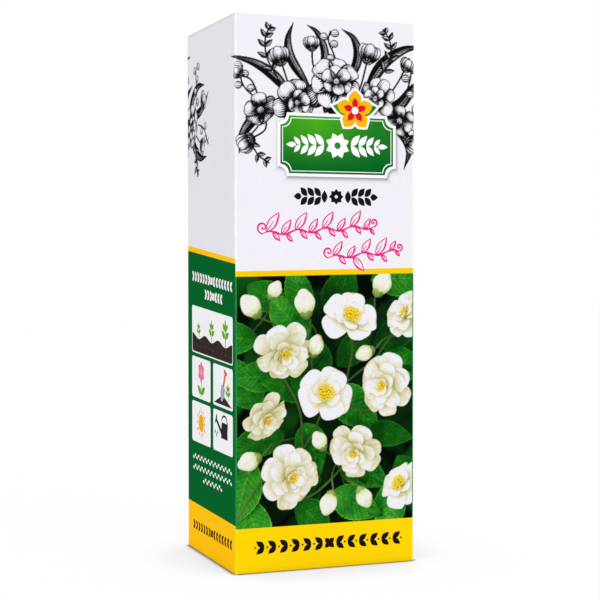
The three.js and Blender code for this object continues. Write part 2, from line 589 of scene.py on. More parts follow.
def printed_board(name, face, place, front, back, lines=(), inside="bare_board", edge="cut_pulp"):
    """A sheet whose outer face holds the print; place(x, y, depth) bends it. Front and back are depths."""
    flat, faces, top = cut_flat([shape for _, shape in face.shapes], lines)
    inks = [face.shapes[number][0] for number in top]
    loops = borders(faces)
    inner_flat, inner_faces, _ = cut_flat([flat[loop] for loop in loops], lines)
    inner_at = {tuple(np.round(p, 4)): k + len(flat) for k, p in enumerate(inner_flat)}
    under = [inner_at.get(tuple(np.round(p, 4))) for p in flat]
    rims, rim_map = [], []
    for loop in loops:
        for k, (a, b) in enumerate(zip(loop, loop[1:] + loop[:1])):
            rims.append([b, a, under[a], under[b]])
            start, end = k / len(loop), (k + 1) / len(loop)
            rim_map += [(end, 0.985), (start, 0.985), (start, 1.0), (end, 1.0)]
    inner = [[k + len(flat) for k in reversed(f)] for f in inner_faces]
    places = [place(p[:, 0], p[:, 1], depth) for p, depth in ((flat, front), (inner_flat, back))]
    used = list(dict.fromkeys(inks)) + [inside, edge]
    mesh = mesh_of(name, np.concatenate(places), faces + inner + rims, used)
    numbers = [used.index(ink) for ink in inks] + [len(used) - 2] * len(inner) + [len(used) - 1] * len(rims)
    mesh.polygons.foreach_set("material_index", numbers)
    low, size = flat.min(0), np.ptp(flat, axis=0)
    outer_map = (flat - low) / size * (0.9, 0.98)
    inner_map = (inner_flat - low) / size * (0.08, 0.98) + (0.92, 0)
    add_map(mesh, np.concatenate([outer_map[np.concatenate(faces)],
                                  inner_map[np.concatenate(inner) - len(flat)], rim_map]))
    mesh.update()
    return smooth(linked(name, mesh), 40)


def printed_wall(side, design):
    """A wall of board: the printed face folded round both corners, its bare inner face and its cut edges."""
    wall = WALLS[side]
    steps = [FOLD_RADIUS * k / FOLD_STEPS for k in range(1, FOLD_STEPS + 1)] + [FOLD_END]
    lines = [((x, FOOT), (x, wall.top)) for s in steps for x in (s, wall.width - s)]
    face = Print("white_coat", wall.outline())
    design(face, wall)
    piece = printed_board(side + "_wall", face, wall.fold, 0, BOARD, lines)
    finish_piece(piece, "root", "printed_board", side + "_panel")


# ---------------------------------------------------------------- ornaments

def turned_flat(points, at, degrees):
    """Flat points turned about the origin and moved to their place."""
    cos, sin = math.cos(math.radians(degrees)), math.sin(math.radians(degrees))
    x, y = np.asarray(points, float).T
    return np.stack([at[0] + x * cos - y * sin, at[1] + x * sin + y * cos], -1)


def leaf_shape(length, width, belly=0.42, bend=0.0, steps=7):
    """A leaf that grows from the origin along +X to a point."""
    t = np.linspace(0, 1, steps + 1)
    foot = np.sin(np.clip(t / belly, 0, 1) * math.pi / 2) ** 0.8
    tip = np.cos(np.clip((t - belly) / (1 - belly), 0, 1) * math.pi / 2) ** 1.1
    half = width / 2 * np.where(t < belly, foot, tip)
    middle = bend * length * np.sin(t * math.pi / 2) ** 2
    upper = np.stack([t * length, middle + half], -1)
    lower = np.stack([t * length, middle - half], -1)
    return np.concatenate([lower, upper[-2:0:-1]])


def disc(x, y, radius, steps=18):
    a = np.linspace(0, 2 * math.pi, steps, endpoint=False)
    return np.stack([x + radius * np.cos(a), y + radius * np.sin(a)], -1)


def rounded(low, high, radius, steps=3, dent=False):
    """A rectangle with round corners, or with round bites out of them."""
    out, (left, foot), (right, top) = [], low, high
    for x, y, start in ((right, top, 0), (left, top, 90), (left, foot, 180), (right, foot, 270)):
        inward = (-radius if start in (0, 270) else radius), (-radius if start < 180 else radius)
        for k in range(steps + 1):
            turn = 90 * k / steps
            if dent:
                a = math.radians(start + 270 - turn)
                out.append((x + radius * math.cos(a), y + radius * math.sin(a)))
            else:
                a = math.radians(start + turn)
                out.append((x + inward[0] + radius * math.cos(a), y + inward[1] + radius * math.sin(a)))
    return out


def smooth_path(points, count):
    """A smooth path through a few points."""
    p = np.asarray(points, float)
    p = np.vstack([2 * p[0] - p[1], p, 2 * p[-1] - p[-2]])
    out = []
    for t in np.linspace(0, len(p) - 3 - 1e-6, count):
        k = int(t)
        f = t - k
        a, b, c, d = p[k:k + 4]
        curve = (2 * a - 5 * b + 4 * c - d) * f * f + (3 * b - a - 3 * c + d) * f ** 3
        out.append(0.5 * (2 * b + (c - a) * f + curve))
    return np.array(out)


def stroke(path, widths):
    """A pen stroke as a row of quads; widths are spread evenly along it."""
    path = np.asarray(path, float)
    w = np.interp(np.linspace(0, 1, len(path)), np.linspace(0, 1, len(widths)), widths) / 2
    way = np.gradient(path, axis=0)
    way /= np.maximum(np.linalg.norm(way, axis=1, keepdims=True), 1e-9)
    side = np.stack([-way[:, 1], way[:, 0]], -1) * w[:, None]
    left, right = path + side, path - side
    return [np.array([right[k], right[k + 1], left[k + 1], left[k]]) for k in range(len(path) - 1)]


def heading(side):
    """The turn of what points right (side 1) or left (-1)."""
    return 0 if side > 0 else 180


def leaf_pair(face, ink, root, side, size, belly=0.42, bend=0.0, opening=46, apart=0.0):
    """Two leaves, size long and wide, that open up and down from their root and point right or left."""
    for up in (-1, 1):
        leaf = leaf_shape(*size, belly, up * side * bend)
        at = (root[0], root[1] + up * apart)
        face.lay(ink, turned_flat(leaf, at, heading(side) + up * side * opening))


def rosette(face, ink, at, count, leaf, start=0.0):
    """A ring of leaves or petals round a middle."""
    for k in range(count):
        face.lay(ink, turned_flat(leaf, at, 360 / count * k + start))


def word_ornament(face, left, right, low, high):
    """Bold black leaves in a row, symmetric about a rosette."""
    x, y, half, reach = (left + right) / 2, (low + high) / 2, (high - low) / 2, (right - left) / 2
    rosette(face, "black_ink", (x, y), 8, leaf_shape(half * 1.06, half * 0.8))
    face.lay("white_coat", disc(x, y, half * 0.22))
    for side in (-1, 1):
        upright = (x + side * half * 1.7, y - half * 0.85)
        face.lay("black_ink", turned_flat(leaf_shape(half * 1.7, half * 0.86, 0.5), upright, 90))
        for spot in (0.36, 0.52, 0.68):
            root, size = (x + side * reach * spot, y), (half * 1.5, half * 0.84)
            leaf_pair(face, "black_ink", root, side, size, 0.5, 0.06, apart=0.04 * half)
        tip = leaf_shape(reach * 0.19, half * 0.92, 0.4)
        face.lay("black_ink", turned_flat(tip, (x + side * reach * 0.81, y), heading(side)))


def leaf_chain(face, ink, left, right, y, height, count, dots=True):
    """Pairs of leaves along a line, pointing out from its middle, with a dot between the pairs."""
    pitch = (right - left) / count
    for k in range(count):
        at = left + pitch * (k + 0.5)
        side = 1 if at > (left + right) / 2 + 1e-6 else -1
        if count % 2 and k == count // 2:
            rosette(face, ink, (at, y), 4, leaf_shape(height * 0.56, height * 0.42), 45)
            continue
        leaf_pair(face, ink, (at - side * pitch * 0.42, y), side, (height * 0.86, height * 0.46), 0.45,
                  opening=36, apart=height * 0.01)
        if dots:
            face.lay(ink, disc(at + side * pitch * 0.34, y, height * 0.085, steps=10))


def open_leaf(face, ink, root, length, turn, pen):
    """A leaf in outline, drawn with a pen that swells, with the beginning of its midrib."""
    rim = leaf_shape(length, length * 0.36, 0.44, steps=12)
    line = turned_flat(np.concatenate([rim, rim[:1]]), root, turn)
    face.lay_all(ink, stroke(line, [share * pen for share in (0.8, 1.1, 1.5, 0.8, 0.8, 1.0, 0.7)]))
    midrib = turned_flat([(0, 0), (length * 0.3, 0), (length * 0.55, 0)], root, turn)
    face.lay_all(ink, stroke(midrib, [pen, 0.5 * pen]))


def curl(foot, radius, hand, steps=26):
    """A line that winds from its foot inward, to the left (hand -1) or to the right (1)."""
    t = np.linspace(0, 1, steps)
    a = math.radians(-90) + hand * t * 1.15 * 2 * math.pi
    r = radius * (1 - t) ** 0.85 + 0.12 * radius
    return np.stack([foot[0] + r * np.cos(a), foot[1] + 1.12 * radius + r * np.sin(a)], -1)


def flourish(face, ink, start, end, leaves, radius, pen=0.72):
    """A pen flourish: a waving stem with open leaves, long above it and short below it, and a curl at both
    ends."""
    start, end = np.asarray(start, float), np.asarray(end, float)
    t = np.linspace(0, 1, 91)
    line = start + (end - start) * t[:, None]
    line[:, 1] += 1.0 * np.sin(t * len(leaves) * math.pi)
    face.lay_all(ink, stroke(line, [0.6 * pen] + [pen, 1.7 * pen] * len(leaves) + [0.6 * pen]))
    for k, (above, below) in enumerate(leaves):
        for length, turn, share in ((above, 56, 0.35), (below, -50, 0.75)):
            open_leaf(face, ink, line[int((k + share) / len(leaves) * 90)], length, turn, pen)
    for foot, size, hand in ((start, radius, -1), (end, radius * 0.7, 1)):
        line = curl(foot, size, hand)
        face.lay_all(ink, stroke(line, [pen, 1.5 * pen, pen, 0.8 * pen]))
        face.lay(ink, disc(*line[-1], 0.8 * pen, steps=10))


# ---------------------------------------------------------------- the designs

LONG_STEM = ((12, 6), (9, 5), (11, 6), (8.5, 5), (10.5, 5.5), (8, 5), (10, 5), (6.5, 4))
SHORT_STEM = ((9, 6), (7.5, 9.5), (9, 5.5), (11, 5), (6, 4))

TILE_CORNER = 1.6
TILE_COLUMNS = ((8.2, 41.6), (46.3, 79.0))
TILE_ROWS = ((173.9, 149.0), (197.6, 175.9), (221.2, 199.7))
SMALL_ROWS = ((9.6, 77.6), (10, 77.6), (28, 61.4))      # from where to where the small leaves run
SMALL_ROW_FIRST, SMALL_ROW_PITCH = 229.2, 5.5
SMALL_LEAF = (2.9, 1.7)


def sloping_rule(face, wall, rule, below, band, yellows=("yellow_rule", "yellow_band")):
    """The yellow rule, the field under it and the yellow band at the foot."""
    (left_top, left_low), (right_top, right_low) = rule
    band_top = [(wall.width, down(band[1])), (0, down(band[0]))]
    lower = [(wall.width, down(right_low)), (0, down(left_low))]
    face.lay(below, lower[::-1] + band_top)
    face.lay(yellows[0], [(0, down(left_top)), (wall.width, down(right_top))] + lower)
    face.lay(yellows[1], [(0, FOOT), (wall.width, FOOT)] + band_top)


def front_design(face, wall):
    sloping_rule(face, wall, FRONT_RULE, "leaf_dark", FRONT_BAND)
    low, right = down(FRONT_BAND[0]), wall.width
    # On the front's folds beside the picture: the wall's green, lighter as a painted highlight.
    for start, end, rule in ((0, FOLD_RADIUS, FRONT_RULE[0]), (right - FOLD_RADIUS, right, FRONT_RULE[1])):
        high = down(rule[1])
        face.lay("fold_green", [(start, low), (end, low), (end, high), (start, high)])
    word_ornament(face, 31, 77.5, down(94.2), down(86.6))
    flourish(face, "pink_ink", (14.5, down(109.5)), (75, down(105.5)), LONG_STEM, 2.8)
    flourish(face, "pink_ink", (50, down(121.5)), (89.5, down(118)), SHORT_STEM, 2.6)
    leaf_chain(face, "black_ink", 9.5, 91.8, down(267.25), 6.4, 13)


def seedling(face, x, y, size):
    stem = smooth_path([(x, y), (x + size * 0.05, y + size * 0.4), (x, y + size * 0.8)], 8)
    face.lay_all("sprout_green", stroke(stem, [size * 0.1, size * 0.06]))
    for turn, part, length in ((28, 0.35, 0.52), (152, 0.35, 0.52), (40, 0.62, 0.44), (140, 0.62, 0.44),
                               (90, 0.74, 0.36)):
        leaf = leaf_shape(size * length, size * length * 0.5)
        face.lay("sprout_green", turned_flat(leaf, (x, y + size * part), turn))


def blank_tile(face, low, high):
    """A white tile. Gives its middle."""
    face.lay("white_ink", rounded(low, high, TILE_CORNER))
    return (np.asarray(low) + np.asarray(high)) / 2


def planting_tile(face, low, high):
    """Three seedlings that grow on a strip of soil."""
    blank_tile(face, low, high)
    (x0, y0), (x1, y1) = np.asarray(low) + 0.7, np.asarray(high) - 0.7
    ground = y0 + (y1 - y0) * 0.36
    hills = [(x, ground + 1.3 * math.cos((x - x0) / (x1 - x0) * 6 * math.pi))
             for x in np.linspace(x1, x0, 49)]
    face.lay("soil_brown", hills + [(x0, y0 + 1.1), (x0 + 1.1, y0), (x1 - 1.1, y0), (x1, y0 + 1.1)])
    for k in range(26):
        x, y = x0 + 1.5 + (k * 7.3) % (x1 - x0 - 3), y0 + 1.0 + (k * 2.9) % (ground - y0 - 2.6)
        face.lay("soil_dark", disc(x, y, 0.3 + 0.1 * (k % 3), steps=7))
    for k, size in enumerate((8.0, 11.0, 13.5)):
        seedling(face, x0 + (x1 - x0) * (k + 0.5) / 3, ground - 1.0, size)


def sun_tile(face, low, high):
    x, y = blank_tile(face, low, high)
    for k in range(12):
        ray = [(5.6, -1.05), (9.4 if k % 2 else 8.2, 0), (5.6, 1.05)]
        face.lay("sun_yellow", turned_flat(ray, (x, y), 30 * k))
    face.lay("sun_yellow", disc(x, y, 4.7, steps=24))


def flower_tile(face, low, high):
    x, y = blank_tile(face, low, high)
    foot = low[1] + 1.4
    stem = smooth_path([(x - 0.6, foot), (x + 0.4, y - 2), (x, y + 3)], 8)
    face.lay_all("sprout_green", stroke(stem, [1.0, 0.8]))
    for turn in (32, 148):
        face.lay("sprout_green", turned_flat(leaf_shape(8.2, 3.6), (x, foot + 1.2), turn))
    rosette(face, "petal_pink", (x, y + 3.4), 6, leaf_shape(5.9, 4.2, 0.62), 30)
    face.lay("sun_yellow", disc(x, y + 3.4, 1.7))


def water_tile(face, low, high):
    """A watering can over a row of drops."""
    x, y = blank_tile(face, low, high) + (0, 1.2)
    for part in (((-3.0, -4.4), (8.0, -4.4), (7.0, 4.0), (-2.0, 4.0)),
                 ((-2.8, -2.6), (-2.4, 0.2), (-10.4, 5.2), (-11.4, 3.6)),
                 ((-11.9, 2.2), (-9.2, 6.6), (-10.6, 7.4), (-13.3, 3.0))):
        face.lay("can_grey", np.array(part) + (x, y))
    handle = [(x + 2.5 + 5.2 * math.cos(a), y + 2.6 + 5.0 * math.sin(a)) for a in np.linspace(-0.6, 2.7, 16)]
    face.lay_all("can_grey", stroke(handle, [1.1, 1.1]))
    for k in range(3):
        at = (x - 13.0 + 2.1 * k, y - 3.2 - 1.6 * (k % 2))
        face.lay("can_grey", turned_flat(leaf_shape(2.6, 1.4, 0.34), at, 90))


def spade_tile(face, low, high):
    """A spade that leans in a heap of soil, and a seedling beside it."""
    x, y = blank_tile(face, low, high)
    foot = low[1] + 1.4
    heap = [(low[0] + 1.4, foot), (x - 6, foot + 3.2), (x, foot + 5.0), (x + 6, foot + 3.2),
            (high[0] - 1.4, foot)]
    face.lay("soil_brown", smooth_path(heap, 24))
    shaft = [(-1.2, 2.0), (1.2, 2.0), (1.2, 11.0), (-1.2, 11.0)]
    grip = rounded((-2.6, 9.8), (2.6, 11.8), 0.8)
    steel = [(-3.1, 2.6), (3.1, 2.6), (3.0, -2.4), (1.6, -5.2), (0, -6.6), (-1.6, -5.2), (-3.0, -2.4)]
    for ink, part in (("handle_orange", shaft), ("handle_orange", grip), ("blade_grey", steel)):
        face.lay(ink, turned_flat(part, (x, y - 2), -24))
    seedling(face, x + 8.6, low[1] + 4.0, 9.0)


def sloped(points):
    """The side's print, drawn level, slopes down to its right edge as the rule above it does, and less
    towards its foot."""
    x, y = np.asarray(points, float).T
    slope = RULE_FALL * np.clip((LEVEL_FROM - down(y)) / (LEVEL_FROM - SIDE_RULE[0][0]), 0, None)
    return np.stack([x, y - slope * (x / DEPTH - 0.5)], -1)


def small_row(face, left, right, y):
    """A line of small leaves that lean up and down in turn."""
    count = int((right - left) / SMALL_LEAF[0])
    for k in range(count):
        at = left + (right - left) * (k + 0.5) / count
        rise, turn = (0.3, 16) if k % 2 else (-0.3, -16)
        face.lay("white_ink", turned_flat(leaf_shape(*SMALL_LEAF), (at - 1.4, y + rise), turn))


def side_design(*order):
    """The plan of a side wall; order gives its four small tiles."""
    def design(face, wall):
        sloping_rule(face, wall, SIDE_RULE, "wall_green", SIDE_BAND, ("side_yellow", "side_yellow"))
        leaf_chain(face, "black_ink", 9.2, 78.4, down(266.3), 4.8, 15, dots=False)
        level = Print()
        leaf_chain(level, "white_ink", 8, 79, down(133.5), 5.0, 15, dots=False)
        leaf_chain(level, "white_ink", 31, 62.5, down(141.5), 5.0, 7, dots=False)
        (low, high), *small = TILE_ROWS
        planting_tile(level, (TILE_COLUMNS[0][0], down(low)), (TILE_COLUMNS[1][1], down(high)))
        spots = [(row, column) for row in small for column in TILE_COLUMNS]
        for tile, ((low, high), (left, right)) in zip(order, spots):
            tile(level, (left, down(low)), (right, down(high)))
        for k, (left, right) in enumerate(SMALL_ROWS):
            small_row(level, left, right, down(SMALL_ROW_FIRST + SMALL_ROW_PITCH * k))
        for ink, points in level.shapes:
            face.lay(ink, sloped(points))
    return design


printed_wall("front", front_design)
printed_wall("back", front_design)
printed_wall("left", side_design(flower_tile, spade_tile, sun_tile, water_tile))
printed_wall("right", side_design(sun_tile, water_tile, spade_tile, flower_tile))


# ---------------------------------------------------------------- modelled flowers for the prints

PETAL, LEAF, STEM, BUD, STAMEN, SEPAL, BERRY = range(7)

GOLDEN_SHARE = 0.381966  # of a turn, which spreads directions evenly
GOLDEN_ANGLE = 2.39996   # the same in radians
SUN = (-0.35, 0.55, 0.75)     # where the sky over the flowers is brightest
SKY_BASE, SKY_SUN = 0.42, 0.95    # how bright that sky is all over, and how much more towards the sun
RAY_START, RAY_REACH = 0.12, 60.0    # from where to where a ray looks for shade


def unit(v):
    return v / np.maximum(np.linalg.norm(v, axis=-1, keepdims=True), 1e-9)


def cross_flat(a, b):
    return a[..., 0] * b[..., 1] - a[..., 1] * b[..., 0]


def spaced(count):
    """Shares of a length from 0 to 1, closer towards 1."""
    return 1 - (1 - np.linspace(0, 1, count)) ** 1.5


class Arrangement:
    """Curved patches of petal, leaf and stem. X and Y lie in the print, and Z points at its viewer."""

    def __init__(self, seed):
        self.random = np.random.default_rng(seed)
        self.patches, self.kinds, self.tones = [], [], []

    def add(self, patch, kind, tone=1.0):
        self.patches.append(np.asarray(patch, float))
        self.kinds.append(kind)
        self.tones.append(tone)

    def gather(self):
        """Each corner's place, normal, u and v, the triangles between them and the patch of each triangle."""
        rows, triangles, owner, base = [], [], [], 0
        for number, patch in enumerate(self.patches):
            nu, nv = patch.shape[:2]
            u, v = np.meshgrid(spaced(nu), np.linspace(-1, 1, nv), indexing="ij")
            normal = unit(np.cross(*np.gradient(patch, axis=(0, 1))))
            rows.append(np.concatenate([patch, normal, u[..., None], v[..., None]], -1).reshape(-1, 8))
            a = (np.arange(nu - 1)[:, None] * nv + np.arange(nv - 1)).ravel() + base
            triangles += [np.stack([a, a + nv, a + 1], -1), np.stack([a + 1, a + nv, a + nv + 1], -1)]
            owner += [np.full(len(a) * 2, number)]
            base += nu * nv
        return np.concatenate(rows), np.concatenate(triangles), np.concatenate(owner)


def turned(patch, axis, degrees):
    """A patch turned about X, Y or Z (axis 0, 1 or 2) through the origin."""
    a = math.radians(degrees)
    i, j = ((1, 2), (2, 0), (0, 1))[axis]
    out = patch.copy()
    out[..., i] = patch[..., i] * math.cos(a) - patch[..., j] * math.sin(a)
    out[..., j] = patch[..., i] * math.sin(a) + patch[..., j] * math.cos(a)
    return out


def placed(patch, at, turn=0.0, nod=(0.0, 0.0)):
    """A patch turned about Z, tipped about X and Y, and moved to its place."""
    return turned(turned(turned(patch, 2, turn), 0, nod[0]), 1, nod[1]) + np.asarray(at, float)


def blade(length, half_width, rise, cup=0.0, ruffle=0.0, waves=3.0, phase=0.0, nu=18, nv=15):
    """A petal or leaf that grows from the origin along +X: half_width(u) is its outline, rise its first
    and last slope in degrees, cup lifts its two edges and ruffle waves its rim."""
    u = spaced(nu)[:, None]
    v = np.linspace(-1, 1, nv)[None, :]
    slope = np.radians(rise[0] + (rise[1] - rise[0]) * u)
    step = length * np.diff(u, axis=0, prepend=0)
    along = np.cumsum(np.cos(slope) * step, 0)
    lift = np.cumsum(np.sin(slope) * step, 0)
    half = half_width(u)
    bulge = cup * v ** 2 * half + ruffle * u ** 2 * np.sin(waves * v * math.pi + phase) * length
    return np.stack([along - np.sin(slope) * bulge, half * v + 0 * u, lift + np.cos(slope) * bulge], -1)


def petal_outline(width, narrow, widest, blunt):
    """Half widths of a broad petal: narrow at its foot, widest past its middle, with a blunt tip."""
    def half(u):
        foot = narrow + (1 - narrow) * np.sin(np.clip(u / widest, 0, 1) * math.pi / 2)
        tip = (1 - np.clip((u - widest) / (1 - widest), 0, 1) ** blunt) ** (1 / blunt)
        return width / 2 * foot * tip
    return half


def leaf_outline(width, widest=0.4, teeth=0, depth=0.07):
    """Half widths of a pointed leaf, with teeth along its rim."""
    def half(u):
        foot = np.sin(np.clip(u / widest, 0, 1) * math.pi / 2) ** 0.75
        tip = np.cos(np.clip((u - widest) / (1 - widest), 0, 1) * math.pi / 2) ** 1.15
        saw = 1 - depth * ((u * teeth) % 1.0) if teeth else 1.0
        return np.maximum(width / 2 * foot * tip * saw, 0.01)
    return half


def rod(path, radius, sides=6):
    """A thin round stem along a path."""
    path = np.asarray(path, float)
    way = unit(np.gradient(path, axis=0))
    side = unit(np.cross(way, (0.0, 0.0, 1.0)) + 1e-6)
    up = np.cross(side, way)
    a = np.linspace(0, 2 * math.pi, sides + 1)[None, :, None]
    return path[:, None] + (np.cos(a) * side[:, None] + np.sin(a) * up[:, None]) * radius


def ball(radius, stretch=1.0, n=12):
    """A round fruit or anther at the origin, with its poles along X."""
    a = np.linspace(0, math.pi, n)[:, None]
    b = np.linspace(0, 2 * math.pi, n + 1)[None]
    return np.stack([-radius * stretch * np.cos(a) + 0 * b, radius * np.sin(a) * np.cos(b),
                     radius * np.sin(a) * np.sin(b)], -1)


class View:
    """What is seen of an arrangement at a grid of places, from straight above."""

    def __init__(self, plants, xs, ys, rays):
        rows, triangles, owner = plants.gather()
        cast = BVHTree.FromPolygons(rows[:, :3].tolist(), triangles.tolist(), all_triangles=True).ray_cast
        above, downward = float(rows[:, 2].max()) + 5, (0.0, 0.0, -1.0)
        hits = [cast((x, y, above), downward)[2] for x, y in zip(xs.ravel().tolist(), ys.ravel().tolist())]
        found = np.array([-1 if hit is None else hit for hit in hits])
        self.shape, self.seen = xs.shape, found >= 0
        hit = found[self.seen]
        corners = rows[triangles[hit]].astype(np.float32)
        p = np.stack([xs.ravel(), ys.ravel()], -1)[self.seen]
        a, b, c = (corners[:, k, :2] for k in range(3))
        area = cross_flat(b - a, c - a)
        area = np.where(np.abs(area) < 1e-12, 1e-12, area)
        wb, wc = cross_flat(p - a, c - a) / area, cross_flat(b - a, p - a) / area
        weights = np.stack([1 - wb - wc, wb, wc], -1)[..., None].clip(-0.5, 1.5)
        data = (corners * weights).sum(1)
        self.z = data[:, 2]
        normal = unit(data[:, 3:6])
        self.behind = normal[:, 2] < 0
        normal[self.behind] *= -1
        self.u, self.v = data[:, 6].clip(0, 1), data[:, 7].clip(-1, 1)
        self.patch = owner[hit]
        self.kind = np.array(plants.kinds)[self.patch]
        self.tone = np.array(plants.tones)[self.patch]
        self.light = self.daylight(cast, rays, np.concatenate([p, self.z[:, None]], -1), normal)

    def spread(self, values, empty):
        """Values of the places that see something, back on the whole grid."""
        values = np.asarray(values)
        out = np.full((self.seen.size,) + values.shape[1:], empty, float)
        out[self.seen] = values
        return out.reshape(self.shape + values.shape[1:])

    def daylight(self, cast, rays, place, normal, tile=4):
        """The share of a soft sky, bright at the upper left, that reaches each place."""
        random = np.random.default_rng(5)
        rows, cols = np.nonzero(self.seen.reshape(self.shape))
        turn = random.random((tile, tile))[rows % tile, cols % tile]
        lean = random.permutation(tile * tile).reshape(tile, tile)[rows % tile, cols % tile]
        side = unit(np.cross(normal, np.where(np.abs(normal[:, :1]) < 0.9, [[1.0, 0, 0]], [[0, 1.0, 0]])))
        other = np.cross(normal, side)
        start = (place + normal * RAY_START).tolist()
        sun = unit(np.array(SUN))
        total = np.zeros(len(normal))
        for k in range(rays):
            height = ((lean + 0.5) / tile ** 2 + k / rays) % 1.0
            angle = 2 * math.pi * (turn + k * GOLDEN_SHARE)
            out = np.sqrt(height)[:, None]
            way = (side * (out * np.cos(angle)[:, None]) + other * (out * np.sin(angle)[:, None])
                   + normal * np.sqrt(1 - height)[:, None])
            sky = (SKY_BASE + SKY_SUN * (way @ sun).clip(0)) * (way[:, 2] > -0.1)
            total += sky * np.array([cast(s, w, RAY_REACH)[2] is None for s, w in zip(start, way.tolist())])
        return self.evened(total / rays, 2)

    def evened(self, values, reach):
        """Each value averaged with its neighbours on the same patch."""
        grid, patch = self.spread(values, 0.0), self.spread(self.patch, -1)
        total, count = np.zeros(self.shape), np.zeros(self.shape)
        for dy in range(-reach, reach):
            for dx in range(-reach, reach):
                same = np.roll(patch, (dy, dx), (0, 1)) == patch
                total += np.roll(grid, (dy, dx), (0, 1)) * same
                count += same
        return (total / np.maximum(count, 1)).ravel()[self.seen]


def soft_noise(x, y, seed):
    """Smooth noise from 0 to 1, with one cell to each unit."""
    table = np.random.default_rng(seed).random((64, 64))
    i, j = np.floor(x).astype(int), np.floor(y).astype(int)
    f, g = x - i, y - j
    f, g = f * f * (3 - 2 * f), g * g * (3 - 2 * g)
    corner = [table[(i + p) % 64, (j + q) % 64] for p in (0, 1) for q in (0, 1)]
    return (corner[0] * (1 - f) + corner[2] * f) * (1 - g) + (corner[1] * (1 - f) + corner[3] * f) * g


def mixed(a, b, share):
    share = np.clip(share, 0, 1)[..., None]
    return np.asarray(a) * (1 - share) + np.asarray(b) * share


def ramp(value, *stops):
    """A colour that runs through the stops (value, colour)."""
    at, colours = zip(*stops)
    return np.stack([np.interp(value, at, channel) for channel in zip(*colours)], -1)


# How the petals of a blossom vary. What has two numbers is drawn between them for each petal.
PICTURE_PETALS = {
    "width": (0.9, 1.12), "narrow": 0.34, "widest": (0.58, 0.72), "blunt": (2.0, 2.8), "reach": (0.9, 1.08),
    "first": (-9, 9), "last": (-14, 14), "cup": (0.16, 0.34), "ruffle": (0.012, 0.03), "waves": (1.6, 3.2),
    "phase": (0, 6.28), "roll": (-14, 14), "stray": (-0.14, 0.14), "tone": (0.93, 1.0),
    "hollow": 0.05, "lift": 0.09, "stagger": 0.05,
}
ENGRAVED_PETALS = {
    "width": (0.9, 1.1), "narrow": 0.3, "widest": 0.68, "blunt": 2.4, "reach": (0.92, 1.06),
    "first": (-6, 6), "last": (-12, 12), "cup": (0.1, 0.3), "ruffle": (0.01, 0.03), "waves": (2, 3.4),
    "phase": (0, 6.28), "roll": (-12, 12), "stray": (-0.1, 0.1), "tone": (0.85, 1.15),
    "hollow": 0.0, "lift": 0.1, "stagger": 0.06,
}


def add_whorls(plants, at, size, nod, whorls, habit):
    """Whorls of petals (count, reach, width, first and last slope) round a heart. Gives the heart's turn."""
    def drawn(what):
        limits = habit[what]
        return plants.random.uniform(*limits) if isinstance(limits, tuple) else limits

    turn = plants.random.uniform(0, 360)
    for number, (count, reach, width, first, last) in enumerate(whorls):
        start = turn + plants.random.uniform(0, 360)
        for k in range(count):
            outline = petal_outline(size * width * drawn("width"), *map(drawn, ("narrow", "widest", "blunt")))
            length = size * reach * drawn("reach")
            rise = (first + drawn("first"), last + drawn("last"))
            petal = blade(length, outline, rise, *map(drawn, ("cup", "ruffle", "waves", "phase")))
            petal = turned(petal, 0, drawn("roll"))
            petal[..., 0] += habit["hollow"] * size
            petal[..., 2] += (number * habit["lift"] + (k % 2) * habit["stagger"]) * size
            way = start + 360 * (k + drawn("stray")) / count
            plants.add(placed(petal, at, way, nod), PETAL, drawn("tone"))
    return turn


# ---------------------------------------------------------------- the colour picture

FULL = ((7, 1.0, 0.80, 16, -16), (6, 0.84, 0.64, 38, 0), (5, 0.6, 0.46, 58, 20), (4, 0.42, 0.34, 66, 40))
OPEN = ((5, 1.0, 1.04, 24, -14), (4, 0.62, 0.6, 48, 8))
BACKDROP = (0.012, 0.05, 0.022)    # the colour behind the leaves

# Where the twigs run, and where the blossoms (size, nod, whorls) and the buds (size, turn) sit.
TWIGS = (
    ((0, 4, -16), (14, 24, -13), (36, 38, -12), (52, 66, -12), (80, 88, -14), (99, 124, -16)),
    ((36, 38, -12), (34, 60, -9), (22, 82, -6)), ((52, 66, -12), (68, 58, -8), (86, 58, -4)),
    ((14, 24, -13), (38, 14, -9), (64, 34, -6)), ((60, 73, -13), (63, 94, -8), (50, 112, -4)),
)
BLOSSOMS = (
    (25, 90, 15.5, (22, 18), FULL), (62, 104, 14.5, (-34, 12), OPEN), (83, 71, 16, (12, -30), FULL),
    (48, 66, 14.5, (-14, 6), OPEN), (15, 57, 13, (30, 34), FULL), (65, 38, 14.5, (26, -12), FULL),
    (28, 25, 15.5, (8, 24), FULL), (92, 17, 13, (-18, -36), OPEN), (95, 106, 12.5, (-24, -34), FULL),
)
BUDS = (
    (43, 92, 12, 70), (37, 114, 15, 100), (8, 113, 14, 130), (50, 10, 13, 250), (70, 12, 12, 300),
    (7, 34, 13, 200), (45, 43, 11, 120), (80, 123, 14, 60), (70, 87, 11, 200), (21, 121, 10, 60),
)


def add_blossom(plants, at, size, nod, whorls):
    """A blossom with a heart of stamens, wider where fewer petals stand round it."""
    r = plants.random
    turn = add_whorls(plants, at, size, nod, whorls, PICTURE_PETALS)
    heart = 0.2 if whorls is FULL else 0.27
    count = int(150 * heart)
    for k in range(count):
        angle, reach = k * GOLDEN_ANGLE, heart * size * math.sqrt((k + 0.5) / count)
        out = np.array([math.cos(angle), math.sin(angle), 0.0]) * reach
        foot, tip = out * 0.35 + (0, 0, 0.16 * size), out * 1.25 + (0, 0, size * r.uniform(0.4, 0.5))
        thread = rod([foot, (foot + tip) / 2 + (0, 0, 0.03 * size), tip], 0.016 * size, 5)
        plants.add(placed(thread, at, turn, nod), STAMEN, 0.75)
        plants.add(placed(ball(0.036 * size, 1.5, 5) + tip, at, turn, nod), STAMEN, r.uniform(0.9, 1.1))


